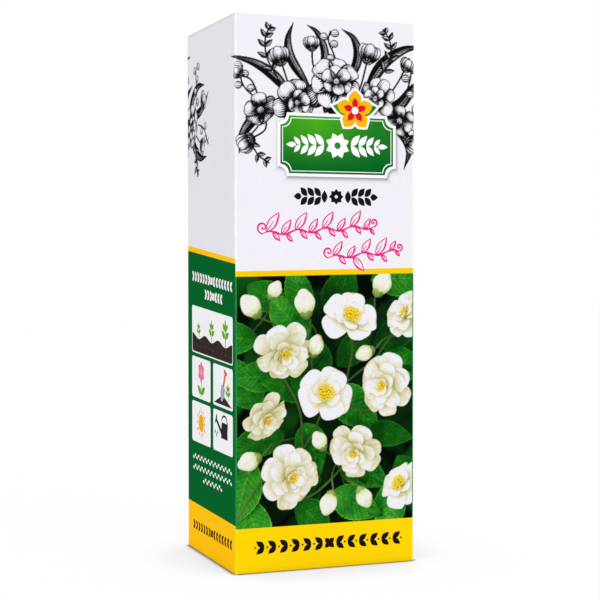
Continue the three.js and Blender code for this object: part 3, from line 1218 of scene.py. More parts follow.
def add_bud(plants, at, size, turn, nod):
    """A closed bud: petals folded over an egg, held by small sepals, on its own stalk."""
    r = plants.random
    plants.add(placed(ball(size * 0.3, 1.6, 16), at, turn, nod), BUD, 0.9)
    for k, (roll, lift) in enumerate(((-66, -0.03), (62, -0.02), (-28, 0.0), (32, 0.025), (6, 0.06))):
        petal = blade(size * 1.28, petal_outline(size * 0.72, 0.5, 0.5, 2.0), (78 - 3 * k, -74), -0.52)
        petal += (-0.52 * size, 0, lift * size)
        plants.add(placed(turned(petal, 0, roll), at, turn, nod), BUD, r.uniform(0.94, 1.0))
    for k in range(5):
        sepal = blade(size * 0.46, leaf_outline(size * 0.34, 0.35), (74, 4), -0.25, nu=9, nv=7)
        sepal += (-0.6 * size, 0, 0.02 * size)
        plants.add(placed(turned(sepal, 0, 72 * k + 40), at, turn, nod), SEPAL, r.uniform(0.9, 1.1))
    a = math.radians(turn)
    stalk = [np.array(at) - (size * s * math.cos(a + w), size * s * math.sin(a + w), d)
             for s, w, d in ((0.6, 0, 1), (1.3, 0.2, 9), (2.6, 0, 36))]
    plants.add(rod(smooth_path(stalk, 10), 0.5), STEM)


def add_near_leaf(plants, x, y, middle):
    """A toothed leaf that points away from the middle of the bouquet."""
    r = plants.random
    turn = math.degrees(math.atan2(y - middle[1], x - middle[0])) + r.uniform(-60, 60)
    length = r.uniform(29, 40)
    outline = leaf_outline(length * r.uniform(0.5, 0.62), r.uniform(0.36, 0.44), 13)
    leaf = blade(length, outline, (r.uniform(4, 12), -r.uniform(8, 34)), r.uniform(0.1, 0.34),
                 r.uniform(0.006, 0.016), 2.4, r.uniform(0, 6.28), 53)
    at = (x - 9 * math.cos(math.radians(turn)), y - 9 * math.sin(math.radians(turn)), r.uniform(-28, -10))
    nod = (r.uniform(-26, 26), r.uniform(-24, 24))
    plants.add(placed(leaf, at, turn, nod), LEAF, r.uniform(0.55, 1.3))


def bouquet(width, height):
    """White blossoms on leafy twigs, before dark leaves that are out of focus."""
    plants = Arrangement(7)
    r = plants.random
    for row in range(8):
        for col in range(6):
            at = (width * (col + r.uniform(-0.2, 1.1)) / 6, height * (row + r.uniform(-0.3, 1.2)) / 8,
                  r.uniform(-48, -32))
            leaf = blade(r.uniform(26, 42), leaf_outline(20), (8, -20), 0.2)
            turn, nod = r.uniform(0, 360), (r.uniform(-30, 30), r.uniform(-25, 25))
            plants.add(placed(leaf, at, turn, nod), LEAF, -r.uniform(0.25, 1.0))
    for row in range(7):
        for col in range(4):
            x, y = width * (col + r.uniform(0.1, 0.9)) / 4, height * (row + r.uniform(0.1, 0.9)) / 7
            add_near_leaf(plants, x, y, (width * 0.4, height * 0.45))
    for path in TWIGS:
        plants.add(rod(smooth_path(path, 14), 0.6), STEM)
    for x, y, size, nod, whorls in BLOSSOMS:
        add_blossom(plants, (x, y, r.uniform(0, 6)), size, nod, whorls)
    for x, y, size, turn in BUDS:
        add_bud(plants, (x, y, r.uniform(2, 6)), size, turn, (r.uniform(-12, 12), r.uniform(-12, 12)))
    return plants


def petal_colours(view, level):
    """Near white, creamy towards the heart, with faint folds along the petal."""
    fold = soft_noise(view.v * 7 + view.patch * 3.7, view.u * 2 + view.patch, 3)
    fine = soft_noise(view.v * 24 + view.patch * 1.3, view.u * 3 + view.patch, 4)
    shade = np.clip(level * (0.94 + 0.16 * fold + 0.08 * fine) * view.tone, 0, 1.15)
    out = ramp(shade, (0, [0.42, 0.42, 0.16]), (0.12, [0.67, 0.665, 0.44]), (0.30, [0.80, 0.78, 0.58]),
               (0.48, [0.865, 0.845, 0.70]), (0.68, [0.91, 0.895, 0.83]), (0.82, [0.94, 0.943, 0.955]))
    out = mixed(out, out * (1.045, 1.0, 0.70), 1.0 - view.u * 2.2)
    return np.where(view.behind[..., None], out * (0.99, 0.99, 0.92), out)


def bud_colours(view, level):
    """Petals of a closed bud: creamy, and green where they leave the stalk."""
    streak = soft_noise(view.v * 9 + view.patch * 2.9, view.u * 2 + view.patch, 8)
    shade = np.clip(level * (0.91 + 0.14 * streak) * view.tone, 0, 1)
    out = ramp(shade, (0.1, [0.46, 0.50, 0.20]), (0.34, [0.76, 0.78, 0.53]), (0.6, [0.88, 0.88, 0.76]),
               (0.82, [0.94, 0.94, 0.90]))
    return mixed(out, out * (0.80, 0.92, 0.50), 0.95 - view.u * 2.6)


def leaf_colours(view, level):
    """Green with a quilted face, fine veins, and a paler midrib and rim. A tone below 0 is far behind."""
    side, tone = np.abs(view.v), np.abs(view.tone)
    vein = np.abs(((view.u * 6.5 - side * 1.15) % 1.0) - 0.5) * 2
    small = soft_noise(view.u * 22 + view.patch * 7.3, view.v * 9 + view.patch * 7.3, 6)
    quilt = 0.95 + 0.13 * np.sin((vein - 0.25) * math.pi) * (1 - 0.3 * side) - 0.24 * (small - 0.5)
    depth = (level * tone * quilt * 1.34 - 0.08).clip(0, 2)
    out = ramp(depth, (0, [0.01, 0.12, 0.03]), (0.5, [0.045, 0.34, 0.05]), (1.0, [0.16, 0.54, 0.12]),
               (1.6, [0.37, 0.69, 0.23]))
    out *= (1 - 0.30 * np.clip((vein - 0.84) / 0.16, 0, 1) * (side < 0.94))[..., None]
    pale = np.maximum(0.6 * np.clip(1 - side / 0.04, 0, 1), 0.85 * np.clip((side - 0.92) / 0.05, 0, 1))
    out = mixed(out, out * (1.5, 1.2, 0.9) + (0.16, 0.14, 0.02), pale * np.clip(level * 1.3, 0.25, 1))
    far = mixed([0.008, 0.045, 0.012], [0.07, 0.36, 0.09], level * tone * 1.5)
    return np.where((view.tone < 0)[..., None], far, out)


def picture_colours(view):
    """The picture as it is printed, 0 to 1 as the eye sees it."""
    level = np.clip(view.light * 1.12, 0, 1.25)
    paints = {PETAL: petal_colours(view, level), LEAF: leaf_colours(view, level),
              STEM: mixed([0.08, 0.16, 0.05], [0.48, 0.62, 0.28], level * 0.8),
              SEPAL: mixed([0.16, 0.26, 0.08], [0.66, 0.76, 0.40], level * 0.9),
              STAMEN: mixed([0.70, 0.52, 0.06], [1.0, 0.88, 0.22], level * 1.25),
              BUD: bud_colours(view, level)}
    out = np.zeros(view.u.shape + (3,))
    for kind, paint in paints.items():
        out = np.where((view.kind == kind)[..., None], paint, out)
    full = view.spread(out, 0.0)
    full[~view.seen.reshape(view.shape)] = BACKDROP
    far = view.spread((view.tone < 0) & (view.kind == LEAF), 1.0)[..., None]
    soft, weight = full * far, far.copy()
    for axis in (0, 1, 0, 1):
        soft, weight = (sum(np.roll(v, k, axis) for k in range(-6, 7, 2)) for v in (soft, weight))
    return np.clip(full * (1 - far) + soft / np.maximum(weight, 1e-6) * far, 0, 1)


def sampled(plants, low, high, cell, rays, colours):
    """A print of the arrangement: colours(view) at two by two places for each cell, evened to its corners."""
    counts, places = [], []
    for start, end in zip(low, high):
        n = int(round((end - start) / cell))
        counts.append(n + 1)
        places.append(start + (np.arange(2 * n + 2) - 0.5) * ((end - start) / n) / 2)
    full = colours(View(plants, *np.meshgrid(*places), rays))
    return full.reshape(counts[1], 2, counts[0], 2, -1).mean((1, 3))


def print_plate(name, wall, x_range, low_edge, high_edge, colours, material):
    """A thin flat plate on a wall that holds a colour at every corner of a fine grid. Its lower and upper
    edges are given by their heights at both ends."""
    ny, nx = colours.shape[0] - 1, colours.shape[1] - 1
    x, share = np.meshgrid(np.linspace(*x_range, nx + 1), np.linspace(0, 1, ny + 1))
    z = np.interp(x, x_range, low_edge) * (1 - share) + np.interp(x, x_range, high_edge) * share
    flat = np.stack([x.ravel(), z.ravel()], -1)
    row, col, last = nx + 1, np.arange(nx + 1), ny * (nx + 1)
    a = (np.arange(ny)[:, None] * row + np.arange(nx)).ravel()
    quads = np.stack([a, a + 1, a + row + 1, a + row], -1)
    loop = np.concatenate([col[:-1], np.arange(ny) * row + nx, (last + col)[:0:-1],
                           np.arange(ny, 0, -1) * row])
    ring = len(flat) + np.arange(len(loop))
    rims = np.stack([np.roll(loop, -1), loop, ring, np.roll(ring, -1)], -1)
    places = [wall.fold(p[:, 0], p[:, 1], depth)
              for p, depth in ((flat, -PLATE_RISE), (flat[loop], PLATE_SINK))]
    faces = quads.tolist() + rims.tolist() + [ring[::-1].tolist()]
    mesh = mesh_of(name, np.concatenate(places), faces, [material])
    rgb = colours.reshape(len(flat), -1)
    rgb = linear(255 * np.concatenate([rgb, rgb[loop]]) * np.ones(3))
    opaque = np.concatenate([rgb, np.ones((len(rgb), 1))], 1)
    layer = mesh.color_attributes.new("print", "FLOAT_COLOR", "POINT")
    layer.data.foreach_set("color", opaque.astype(np.float32).ravel())
    plate_map = (flat - flat.min(0)) / np.ptp(flat, axis=0)
    tiny = plate_map[loop] * 0.008 + (0.992, 0)
    after = np.roll(tiny, -1, 0)
    rim_map = np.stack([after, tiny, tiny + (0, 0.004), after + (0, 0.004)], 1).reshape(-1, 2)
    add_map(mesh, np.concatenate([(plate_map * (0.985, 1.0))[quads.ravel()], rim_map, tiny[::-1]]))
    return finish_piece(linked(name, mesh), "root", "printed_board")


def print_opposite(pieces):
    """The same prints on the opposite walls."""
    for piece in pieces:
        side, kind = piece.name.split("_", 1)
        name = {"front": "back", "left": "right", "right": "left"}[side] + "_" + kind
        mesh = piece.data.copy()
        mesh.name = name
        mesh.transform(Matrix.Diagonal((-1, -1, 1, 1)))
        finish_piece(linked(name, mesh), "root", "printed_board")


def make_pictures():
    """The picture on the front and back walls, each in an upper and a lower half."""
    wall, inset = WALLS["front"], FOLD_RADIUS + PLATE_GAP
    x_range = (inset, wall.width - inset)
    foot, rule = down(FRONT_BAND[0]), [down(edge[1]) for edge in FRONT_RULE]
    height = max(rule) - foot
    colours = sampled(bouquet(wall.width, height), (x_range[0], 0), (x_range[1], height), PICTURE_CELL,
                      PICTURE_RAYS, picture_colours)
    half = colours.shape[0] // 2
    share = half / (colours.shape[0] - 1)
    top = np.interp(x_range, (0, wall.width), rule)
    middle = foot * (1 - share) + top * share
    halves = (("lower", (foot, foot), middle, colours[:half + 1]), ("upper", middle, top, colours[half:]))
    print_opposite([print_plate("front_picture_" + part, wall, x_range, low, high, cells, "picture_print")
                    for part, low, high, cells in halves])


# ---------------------------------------------------------------- the engraved garland

# X runs from the front wall's left edge, and Y down from the top. Long leaves: their curve, width and tone.
LONG_LEAVES = (
    (((30, 40), (20, 30), (9, 24), (-6, 21)), 5.5, 0.75),
    (((40, 36), (30, 22), (28, 12), (31, 3)), 5.0, 0.7),
    (((70, 36), (80, 22), (92, 14), (104, 12)), 6.0, 0.8),
    (((60, 34), (66, 20), (64, 10), (57, 5)), 5.0, 0.6),
    (((80, 46), (90, 42), (98, 33), (108, 28)), 6.0, 0.75),
    (((20, 46), (12, 50), (4, 60), (2, 70)), 6.0, 0.8),
    (((84, 52), (92, 58), (95, 66), (92, 76)), 5.5, 0.75),
    (((46, 30), (48, 18), (44, 8), (38, 4)), 4.2, 0.65),
    (((100, 48), (108, 36), (118, 30), (130, 30)), 6.0, 0.8),
    (((104, 52), (112, 62), (122, 68), (134, 68)), 6.0, 0.75),
    (((108, 46), (120, 44), (130, 40), (137, 34)), 5.0, 0.7),
)
# Twigs: their curve, how many berries or pairs of leaves they hold, the size of these and which it is.
SPRIGS = (
    (((52, 35), (54, 22), (50, 12), (51, 6.5)), 5, 1.9, BERRY),
    (((24, 34), (17, 22), (16, 12), (19, 5)), 5, 5.6, LEAF),
    (((76, 32), (84, 20), (84, 10), (80, 4)), 5, 5.4, LEAF),
    (((14, 44), (6, 38), (3, 32), (4, 26)), 4, 1.8, BERRY),
    (((88, 44), (94, 34), (96, 26), (95, 18)), 4, 2.0, BERRY),
    (((12, 56), (8, 62), (12, 70), (18, 74)), 4, 5.0, LEAF),
    (((112, 44), (116, 34), (114, 24), (117, 17)), 5, 1.9, BERRY),
    (((110, 56), (116, 66), (114, 73), (119, 77)), 4, 5.0, LEAF),
    (((118, 50), (126, 52), (132, 56), (136, 62)), 4, 1.8, BERRY),
)
# Cup flowers: x, y, size, turn and the root of their stalk. Blossoms: x, y, size, nod and whorls.
CUP_FLOWERS = (
    (25, 25, 9.5, 110, (32, 40)), (71, 22, 10, 75, (66, 38)), (93, 60, 8.5, 330, (84, 50)),
    (9, 62, 8.5, 215, (16, 48)), (41, 17, 7.5, 95, (46, 34)), (124, 41, 9, 40, (112, 50)),
    (122, 60, 8, 330, (110, 52)), (4, 31, 6, 150, (14, 46)), (92, 25, 7, 60, (82, 40)),
)
ROUND_BLOSSOMS = (
    (54, 33, 14.5, (-20, 8), ((7, 1.0, 0.78, 16, -24), (6, 0.62, 0.5, 44, -4))),
    (32, 43, 12.5, (10, 26), ((6, 1.0, 0.92, 18, -22), (5, 0.6, 0.56, 48, 0))),
    (77, 40, 12.0, (-6, -26), ((8, 1.0, 0.6, 12, -24), (6, 0.6, 0.42, 40, 0))),
    (13, 47, 9.5, (30, 20), ((5, 1.0, 0.98, 20, -20),)),
    (90, 50, 9.0, (26, -20), ((6, 1.0, 0.8, 20, -22),)),
    (106, 50, 12.0, (10, 18), ((7, 1.0, 0.76, 16, -24), (6, 0.6, 0.5, 44, 0))),
)


def add_round_blossom(plants, at, size, nod, whorls):
    """A blossom with a domed heart."""
    turn = add_whorls(plants, at, size, nod, whorls, ENGRAVED_PETALS)
    dome = turned(ball(size * 0.2, 0.55), 1, -90)
    dome[..., 2] += 0.14 * size
    plants.add(placed(dome, at, turn, nod), STAMEN, 1.0)


def add_cup_flower(plants, at, size, turn, root):
    """A flower from its side: cupped petals in front of one another, on a stalk that grows from a root."""
    r = plants.random
    a = math.radians(turn)
    stalk = [(*root, -7), (at[0] - size * math.cos(a), at[1] - size * math.sin(a), -5), at]
    plants.add(rod(smooth_path(stalk, 12), 0.32), STEM)
    for roll, rise in ((-62, -0.25), (62, -0.25), (-30, -0.1), (34, -0.08), (0, 0.05)):
        length, outline = size * r.uniform(1.0, 1.1), petal_outline(size * 0.62, 0.42, 0.6, 2.0)
        petal = blade(length, outline, (26, -14), -0.25, 0.02, 3.0, r.uniform(0, 6))
        petal = turned(petal, 2, roll * 0.45)
        petal[..., 2] += rise * size
        plants.add(placed(petal, at, turn), PETAL, r.uniform(0.85, 1.1))
    for swing in (-60, -20, 20, 60):
        sepal = turned(blade(size * 0.36, leaf_outline(size * 0.2, 0.4), (20, -20), nu=9, nv=7), 2, swing)
        sepal[..., 2] += 0.3 * size
        plants.add(placed(sepal, at, turn), LEAF, 0.8)


def add_long_leaf(plants, points, width, tone):
    """A long leaf that follows a curve and narrows to its tip."""
    path = smooth_path([(*p, -9) for p in points], 25)
    way = unit(np.gradient(path, axis=0))
    side = np.stack([-way[:, 1], way[:, 0], 0 * way[:, 0]], -1)
    u, v = np.linspace(0, 1, 25), np.linspace(-1, 1, 9)
    half = leaf_outline(width, 0.3)(u)
    patch = path[:, None] + side[:, None] * (half[:, None] * v)[..., None]
    patch[..., 2] += 0.3 * np.abs(v) * half[:, None]
    plants.add(patch, LEAF, tone)


def add_sprig(plants, points, count, size, kind):
    """A twig with berries, or with pairs of small leaves."""
    path = smooth_path([(*p, -3) for p in points], 24)
    plants.add(rod(path, 0.28), STEM)
    for k in range(count):
        n = int((k + 1.2) / (count + 0.6) * 22)
        onward = math.degrees(math.atan2(*(path[n + 1] - path[n])[1::-1]))
        if kind == BERRY:
            a = math.radians(onward + (52 if k % 2 else -52))
            end = path[n] + np.array([math.cos(a), math.sin(a), 0.5]) * size * 1.7
            plants.add(rod([path[n], (path[n] + end) / 2 + (0, 0, 0.2), end], 0.2, 5), STEM)
            plants.add(ball(size, 1.15) + end, BERRY)
            continue
        for side in (-48, 48):
            outline = leaf_outline(size * 0.42, 0.42)
            leaf = blade(size * (1.15 - 0.5 * k / count), outline, (12, -16), 0.2, nv=7)
            plants.add(placed(leaf, path[n], onward + side), LEAF, 0.9)


def garland():
    """Broad blossoms, cup flowers, long leaves and twigs along the top of the front wall and round onto the
    walls beside it."""
    def flip(points):
        return [(x, -y) for x, y in points]

    plants = Arrangement(11)
    r = plants.random
    for points, width, tone in LONG_LEAVES:
        add_long_leaf(plants, flip(points), width, tone)
    for points, count, size, kind in SPRIGS:
        add_sprig(plants, flip(points), count, size, kind)
    for x, y, size, turn, root in CUP_FLOWERS:
        add_cup_flower(plants, (x, -y, 1), size, turn, *flip([root]))
    for k in range(10):
        leaf = blade(17, leaf_outline(7.2, 0.42), (8, -18), 0.2)
        at = (28 + 5 * k + r.uniform(-2, 2), -48 + r.uniform(-4, 4), -6)
        plants.add(placed(leaf, at, r.uniform(20, 160)), LEAF, r.uniform(0.6, 0.9))
    for x, y, size, nod, whorls in ROUND_BLOSSOMS:
        add_round_blossom(plants, (x, -y, r.uniform(1, 4)), size, nod, whorls)
    return plants


def lines(phase):
    """Lines that swell and thin, one to each unit of the phase."""
    return 1 - np.abs((phase % 1.0) - 0.5) * 2


def hatched(dark, phase):
    """Black lines, as broad as the place is dark."""
    return np.clip((dark * 1.15 - 0.8 * lines(phase)) / 0.3, 0, 1)


def engraved(view):
    """The black that the engraver prints: outlines, and hatching that thickens in the shade and at the heart
    of a flower."""
    u, v, tone = view.u, view.v, view.tone
    level = np.clip(view.light * 1.15, 0, 1.15)
    drift = soft_noise(view.patch * 5.1, u * 3 + view.patch, 2)
    heart = np.clip(1 - u / 0.8, 0, 1) ** 1.2
    pleat = 0.5 + 0.5 * np.cos(v * 7 + 5 * drift)
    rim = np.clip((np.abs(v) - 0.72) / 0.28, 0, 1)
    shine = np.exp(-((u - 0.74) / 0.17) ** 2 - ((v + 0.15) / 0.5) ** 2)
    shade = np.clip(0.92 - level * tone, 0, 1)
    dark = 0.15 + 0.78 * heart + shade + 0.34 * pleat * (1.1 - u) + 0.3 * rim - 0.45 * shine
    petal = hatched(dark, v * 5.0 + 0.5 + 0.3 * (drift - 0.5))
    streak = np.exp(-((v + 0.42) / 0.34) ** 2) * np.clip(4.6 * u * (1 - u), 0, 1)
    leaf = hatched(1.05 - 0.92 * streak * np.clip(level * 1.3, 0.3, 1) * tone, u * 30 - np.abs(v) * 3.0)
    leaf = np.where(np.abs(v) < 0.05, 0.2, leaf)
    berry = lines(v * 5.0) < np.clip(1.2 - level, 0.1, 0.95)
    dots = (np.sin(v * 31) * np.sin(u * 17)) > (level - 0.75)
    kinds = [view.kind == k for k in (PETAL, LEAF, BERRY, STAMEN)]
    black = np.select(kinds, [petal, leaf, berry, dots], 0.95)
    full = view.spread(black, 0.0)
    patch, z = view.spread(view.patch, -1.0), view.spread(view.z, -60.0)
    edge = np.zeros(view.shape, bool)
    for axis in (0, 1):
        change = (np.roll(patch, 1, axis) != patch) & (np.abs(np.roll(z, 1, axis) - z) > 0.05)
        edge |= change | np.roll(change, -1, axis)
    edge[[0, -1]] = edge[:, [0, -1]] = False
    return np.maximum(full, edge)[..., None]


# The windows of the garland: their lower and upper edges, and how far they reach along a side wall.
FRONT_WINDOW = (84, 3.0)
TURN_WINDOW, TURN_REACH = (78.0, 8), 39
SLIVER_WINDOW, SLIVER_REACH = (74, 18), 7.2
ENGRAVER_INK = 0.94      # how black the engraving is
FOLD_HIGHLIGHT_PALING = 0.25         # and how much less so on a fold, as a painted highlight
SHADOW_SHIFT = (0.5, 0.9)    # of the plaque's printed shadow, to the right and down
SHADOW_DEPTH, SHADOW_BLUR = 0.42, 0.55


def engraved_plate(name, plants, wall, x_range, y_range, shift, shadow=None):
    """A window of the garland on one wall, its lower and upper edges this far down. Shift is where the wall's
    left edge lies along the garland. Where the board is folded the ink is a little paler and the white
    brighter, a painted highlight."""
    low, high = y_range
    window = (x_range[0] + shift, -low), (x_range[1] + shift, -high)
    black = sampled(plants, *window, ENGRAVING_CELL, ENGRAVING_RAYS, engraved)[..., 0]
    ny, nx = black.shape
    x, y = np.meshgrid(np.linspace(*x_range, nx), np.linspace(low, high, ny))
    # A painted highlight along the folds: paler ink on a brighter white.
    fold = np.clip(2.2 - 1.6 * np.minimum(x, wall.width - x) / FOLD_RADIUS, 0, 1)
    share = 1 - (ENGRAVER_INK - FOLD_HIGHLIGHT_PALING * fold) * black
    if shadow:
        share = share * shadow(x, y)
    colours = share[..., None] * mixed(INKS["white_coat"], INKS["white_ink"], fold) / 255
    return print_plate(name, wall, x_range, [down(low)] * 2, [down(high)] * 2, colours, "engraving_print")


def plaque_shadow(x, y):
    """A soft printed shadow under the plaque, a little to its lower right."""
    past = [np.abs(at - ((start + end) / 2 + shift)) - abs(end - start) / 2
            for at, (start, end), shift in zip((x, y), (PLAQUE_X, PLAQUE_Y), SHADOW_SHIFT)]
    out = np.maximum(np.maximum(*past), PLAQUE_BITE - np.hypot(*past))
    return 1 - SHADOW_DEPTH / (1 + np.exp(out / SHADOW_BLUR))


def make_engravings():
    """The garland on the front and back walls, and both of its ends where they run over the folds."""
    plants = garland()
    front, left, right = WALLS["front"], WALLS["left"], WALLS["right"]
    sliver = (left.width - SLIVER_REACH, left.width)
    print_opposite([
        engraved_plate("front_engraving", plants, front, (0, front.width), FRONT_WINDOW, 0, plaque_shadow),
        engraved_plate("right_engraving", plants, right, (0, TURN_REACH), TURN_WINDOW, front.width),
        engraved_plate("left_sliver", plants, left, sliver, SLIVER_WINDOW, -left.width),
    ])


# ---------------------------------------------------------------- plaque and its bloom

def plaque_face():
    """A green plaque with bitten corners, a white rim, and a white garland with a rosette in its middle."""
    face = Print()
    low, high = (np.array((PLAQUE_X[k], down(PLAQUE_Y[k]))) for k in (0, 1))
    face.lay("white_ink", rounded(low, high, PLAQUE_BITE, 8, dent=True))
    for ink, inset in (("plaque_green", 1.5), ("white_ink", 2.5), ("plaque_green", 2.9)):
        face.lay(ink, rounded(low + inset, high - inset, 4.6, 8, dent=True))
    x, y = (low + high) / 2
    rosette(face, "white_ink", (x, y), 8, leaf_shape(6.8, 4.2, 0.5), 22.5)
    face.lay("plaque_green", disc(x, y, 1.7))
    for side in (-1, 1):
        for k, size in enumerate((7.6, 7.2, 6.4, 5.2)):
            root = (x + side * (7.4 + 4.3 * k), y)
            leaf_pair(face, "white_ink", root, side, (size, size * 0.46), 0.45, 0.05)
        face.lay("white_ink", turned_flat(leaf_shape(5.6, 2.7), (x + side * 22.4, y), heading(side)))
    return face


def bloom_face():
    """A small five-petal bloom between two leaves, all with a white rim."""
    face = Print()
    at = np.array((BLOOM_AT[0], down(BLOOM_AT[1])))
    for grow, leaf_ink, petal_ink in ((1.1, "white_ink", "white_ink"), (0.0, "plaque_green", "sun_yellow")):
        leaf = leaf_shape(12.5 + 1.6 * grow, 7.0 + 1.9 * grow, 0.45)
        for turn in (12, 168):
            face.lay(leaf_ink, turned_flat(leaf, at - (0, 0.5), turn))
        rosette(face, petal_ink, at, 5, leaf_shape(10.4 + 1.1 * grow, 7.2 + 1.9 * grow, 0.62), 18)
    rosette(face, "bloom_red", at, 5, leaf_shape(6.6, 3.4, 0.6), 18)
    face.lay("white_ink", disc(*at, 1.9))
    return face


def make_plaques():
    """The plaque on the front wall and the bloom on its upper edge, and both on the back wall."""
    place = WALLS["front"].fold
    for name, face, rise, sink in (("front_plaque", plaque_face(), PLAQUE_RISE, PLATE_SINK),
                                   ("front_bloom", bloom_face(), BLOOM_RISE, -PLATE_RISE)):
        plate = printed_board(name, face, place, -rise, sink, inside="white_ink", edge="white_ink")
        print_opposite([finish_piece(plate, "root", "printed_board")])


make_pictures()
make_engravings()
make_plaques()


# ---------------------------------------------------------------- bottom, lid and flaps

def make_bottom():
    """The outer flap, yellow under its varnish, the inner flap and the two short flaps."""
    outer = block("bottom_outer", *box_mm("bottom_outer_flap"))
    bevel_parts(outer, "EDGE", lambda p: abs(abs(p[0]) - HALF_W) < NEAR and abs(abs(p[1]) - HALF_D) < NEAR,
                FOLD_RADIUS, 2 * FOLD_STEPS)
    bevel_parts(outer, "FACE", lambda p: p[2] < NEAR, FOOT_ROUND, 3)
    for ink in ("yellow_band", "bare_board"):
        outer.data.materials.append(MATERIALS[ink])
    for face in outer.data.polygons:
        face.material_index = 1 if face.normal.z > 0.9 else 0
    finish_piece(smooth(outer, 45), "root", "yellow_foot", "bottom_outer_flap")

    inner = soften(block("bottom_inner", *box_mm("bottom_inner_flap")))
    finish_piece(paint(inner, "bare_board"), "root", "bare_board", "bottom_inner_flap")

    for node, sign in (("bottom_dust_left", -1), ("bottom_dust_right", 1)):
        low, high = box_mm(node)
        flap = block(node + "_board", low, high)
        for end, inset in ((low[1], BOTTOM_TAPER), (high[1], -BOTTOM_TAPER)):
            slide_corners(flap, high[0] if sign < 0 else low[0], 1, end, inset)
        finish_piece(paint(soften(flap), "bare_board"), "root", "bare_board", node)


def make_glue_flap():
    """The glued seam inside the back wall, with slanted ends."""
    low, high = box_mm("glue_flap")
    flap = block("glue_seam", low, high)
    for end, inset in ((low[2], GLUE_TAPER), (high[2], -GLUE_TAPER)):
        slide_corners(flap, high[0], 2, end, inset)
    paint(soften(flap), "bare_board", "white_coat", (0, -1, 0))
    finish_piece(flap, "root", "bare_board", "glue_flap")


def tuck_bend():
    """The middle of the bend between the lid and its flap, and how far down the flap the bend ends."""
    low, high = box_mm("top_lid")
    lean, drop = math.radians(TUCK_LEAN), high[2] - BEND_RADIUS - low[2]
    across = low[1] + (BEND_RADIUS - drop * math.sin(lean)) / math.cos(lean)
    middle = np.array((across, high[2] - BEND_RADIUS))
    end = middle - BEND_RADIUS * np.array((math.cos(lean), math.sin(lean)))
    return middle, (low[2] - end[1]) / math.cos(lean)


def sprig_on_lid(face):
    """Two green twigs that grow from a small bloom."""
    middle = np.array((0, 0.5))
    for side in (-1, 1):
        twig = smooth_path([middle, middle + (side * 9, 0.8), middle + (side * 19, -0.6)], 10)
        face.lay_all("wall_green", stroke(twig, [0.9, 0.7, 0.4]))
        for k in range(4):
            root, size = middle + (side * (5 + 4.2 * k), 0), (6.4 - 0.8 * k, 2.7 - 0.3 * k)
            leaf_pair(face, "wall_green", root, side, size, opening=40, apart=0.4)
        tip = middle + (side * 18.6, -0.5)
        face.lay("wall_green", turned_flat(leaf_shape(5, 2.2), tip, heading(side)))
    rosette(face, "sun_yellow", middle, 5, leaf_shape(4.3, 3.4, 0.6), 18)
    face.lay("bloom_red", disc(*middle, 1.3))


def make_lid():
    """The lid: white outside with a small green sprig, bare inside, and slit at both ends of its creases."""
    low, high = box_mm("top_lid")
    front, back = tuck_bend()[0][0] + BEND_TAIL, HALF_D - BEND_RADIUS - BEND_TAIL
    half = [(TUCK_HALF, front), (TUCK_HALF, low[1]), (high[0], low[1]), (high[0], high[1]),
            (HALF_W - FOLD_END, high[1]), (HALF_W - FOLD_END, back)]
    face = Print("white_coat", half + [(-x, y) for x, y in reversed(half)])
    sprig_on_lid(face)

    def on_lid(x, y, depth):
        return np.stack([x, y, np.full(len(x), high[2] - depth)], -1) * MM

    finish_piece(printed_board("lid_board", face, on_lid, 0, BOARD), "lid", "printed_board", "top_lid")


def make_tuck_flap():
    """The flap that slides in behind the front wall, with two round corners."""
    low = box_mm("top_lid")[0]
    flap = block("tuck_board", (-TUCK_HALF, 0, -TUCK_REACH), (TUCK_HALF, BOARD, -tuck_bend()[1] - BEND_TAIL))
    bevel_parts(flap, "EDGE", lambda p: p[2] < -TUCK_REACH + NEAR and abs(abs(p[0]) - TUCK_HALF) < NEAR,
                TUCK_CORNER, 12)
    paint(soften(flap), "white_coat", up=(0, -1, 0))
    flap.rotation_euler.x = math.radians(TUCK_LEAN)
    flap.location = (0, low[1] * MM, low[2] * MM)
    finish_piece(settle(flap), "tuck", "printed_board", "tuck_flap")


def make_dust_flap(side, sign):
    """A flap that folds in from a side wall, bare inside, with slanted edges."""
    low, high = box_mm("dust_flap_" + side)
    root = sign * (HALF_W - BEND_RADIUS - BEND_TAIL)
    tip = high[0] if sign < 0 else low[0]
    flap = block("dust_" + side + "_board", (min(root, tip), low[1], low[2] - UNDER_LID),
                 (max(root, tip), high[1], high[2] - UNDER_LID))
    for end, slope in ((low[1], DUST_FRONT_SLOPE), (high[1], -DUST_BACK_SLOPE)):
        slide_corners(flap, tip, 1, end, slope * abs(tip - root))
    finish_piece(paint(soften(flap), "white_coat"), "dust_" + side, "printed_board", "dust_flap_" + side)


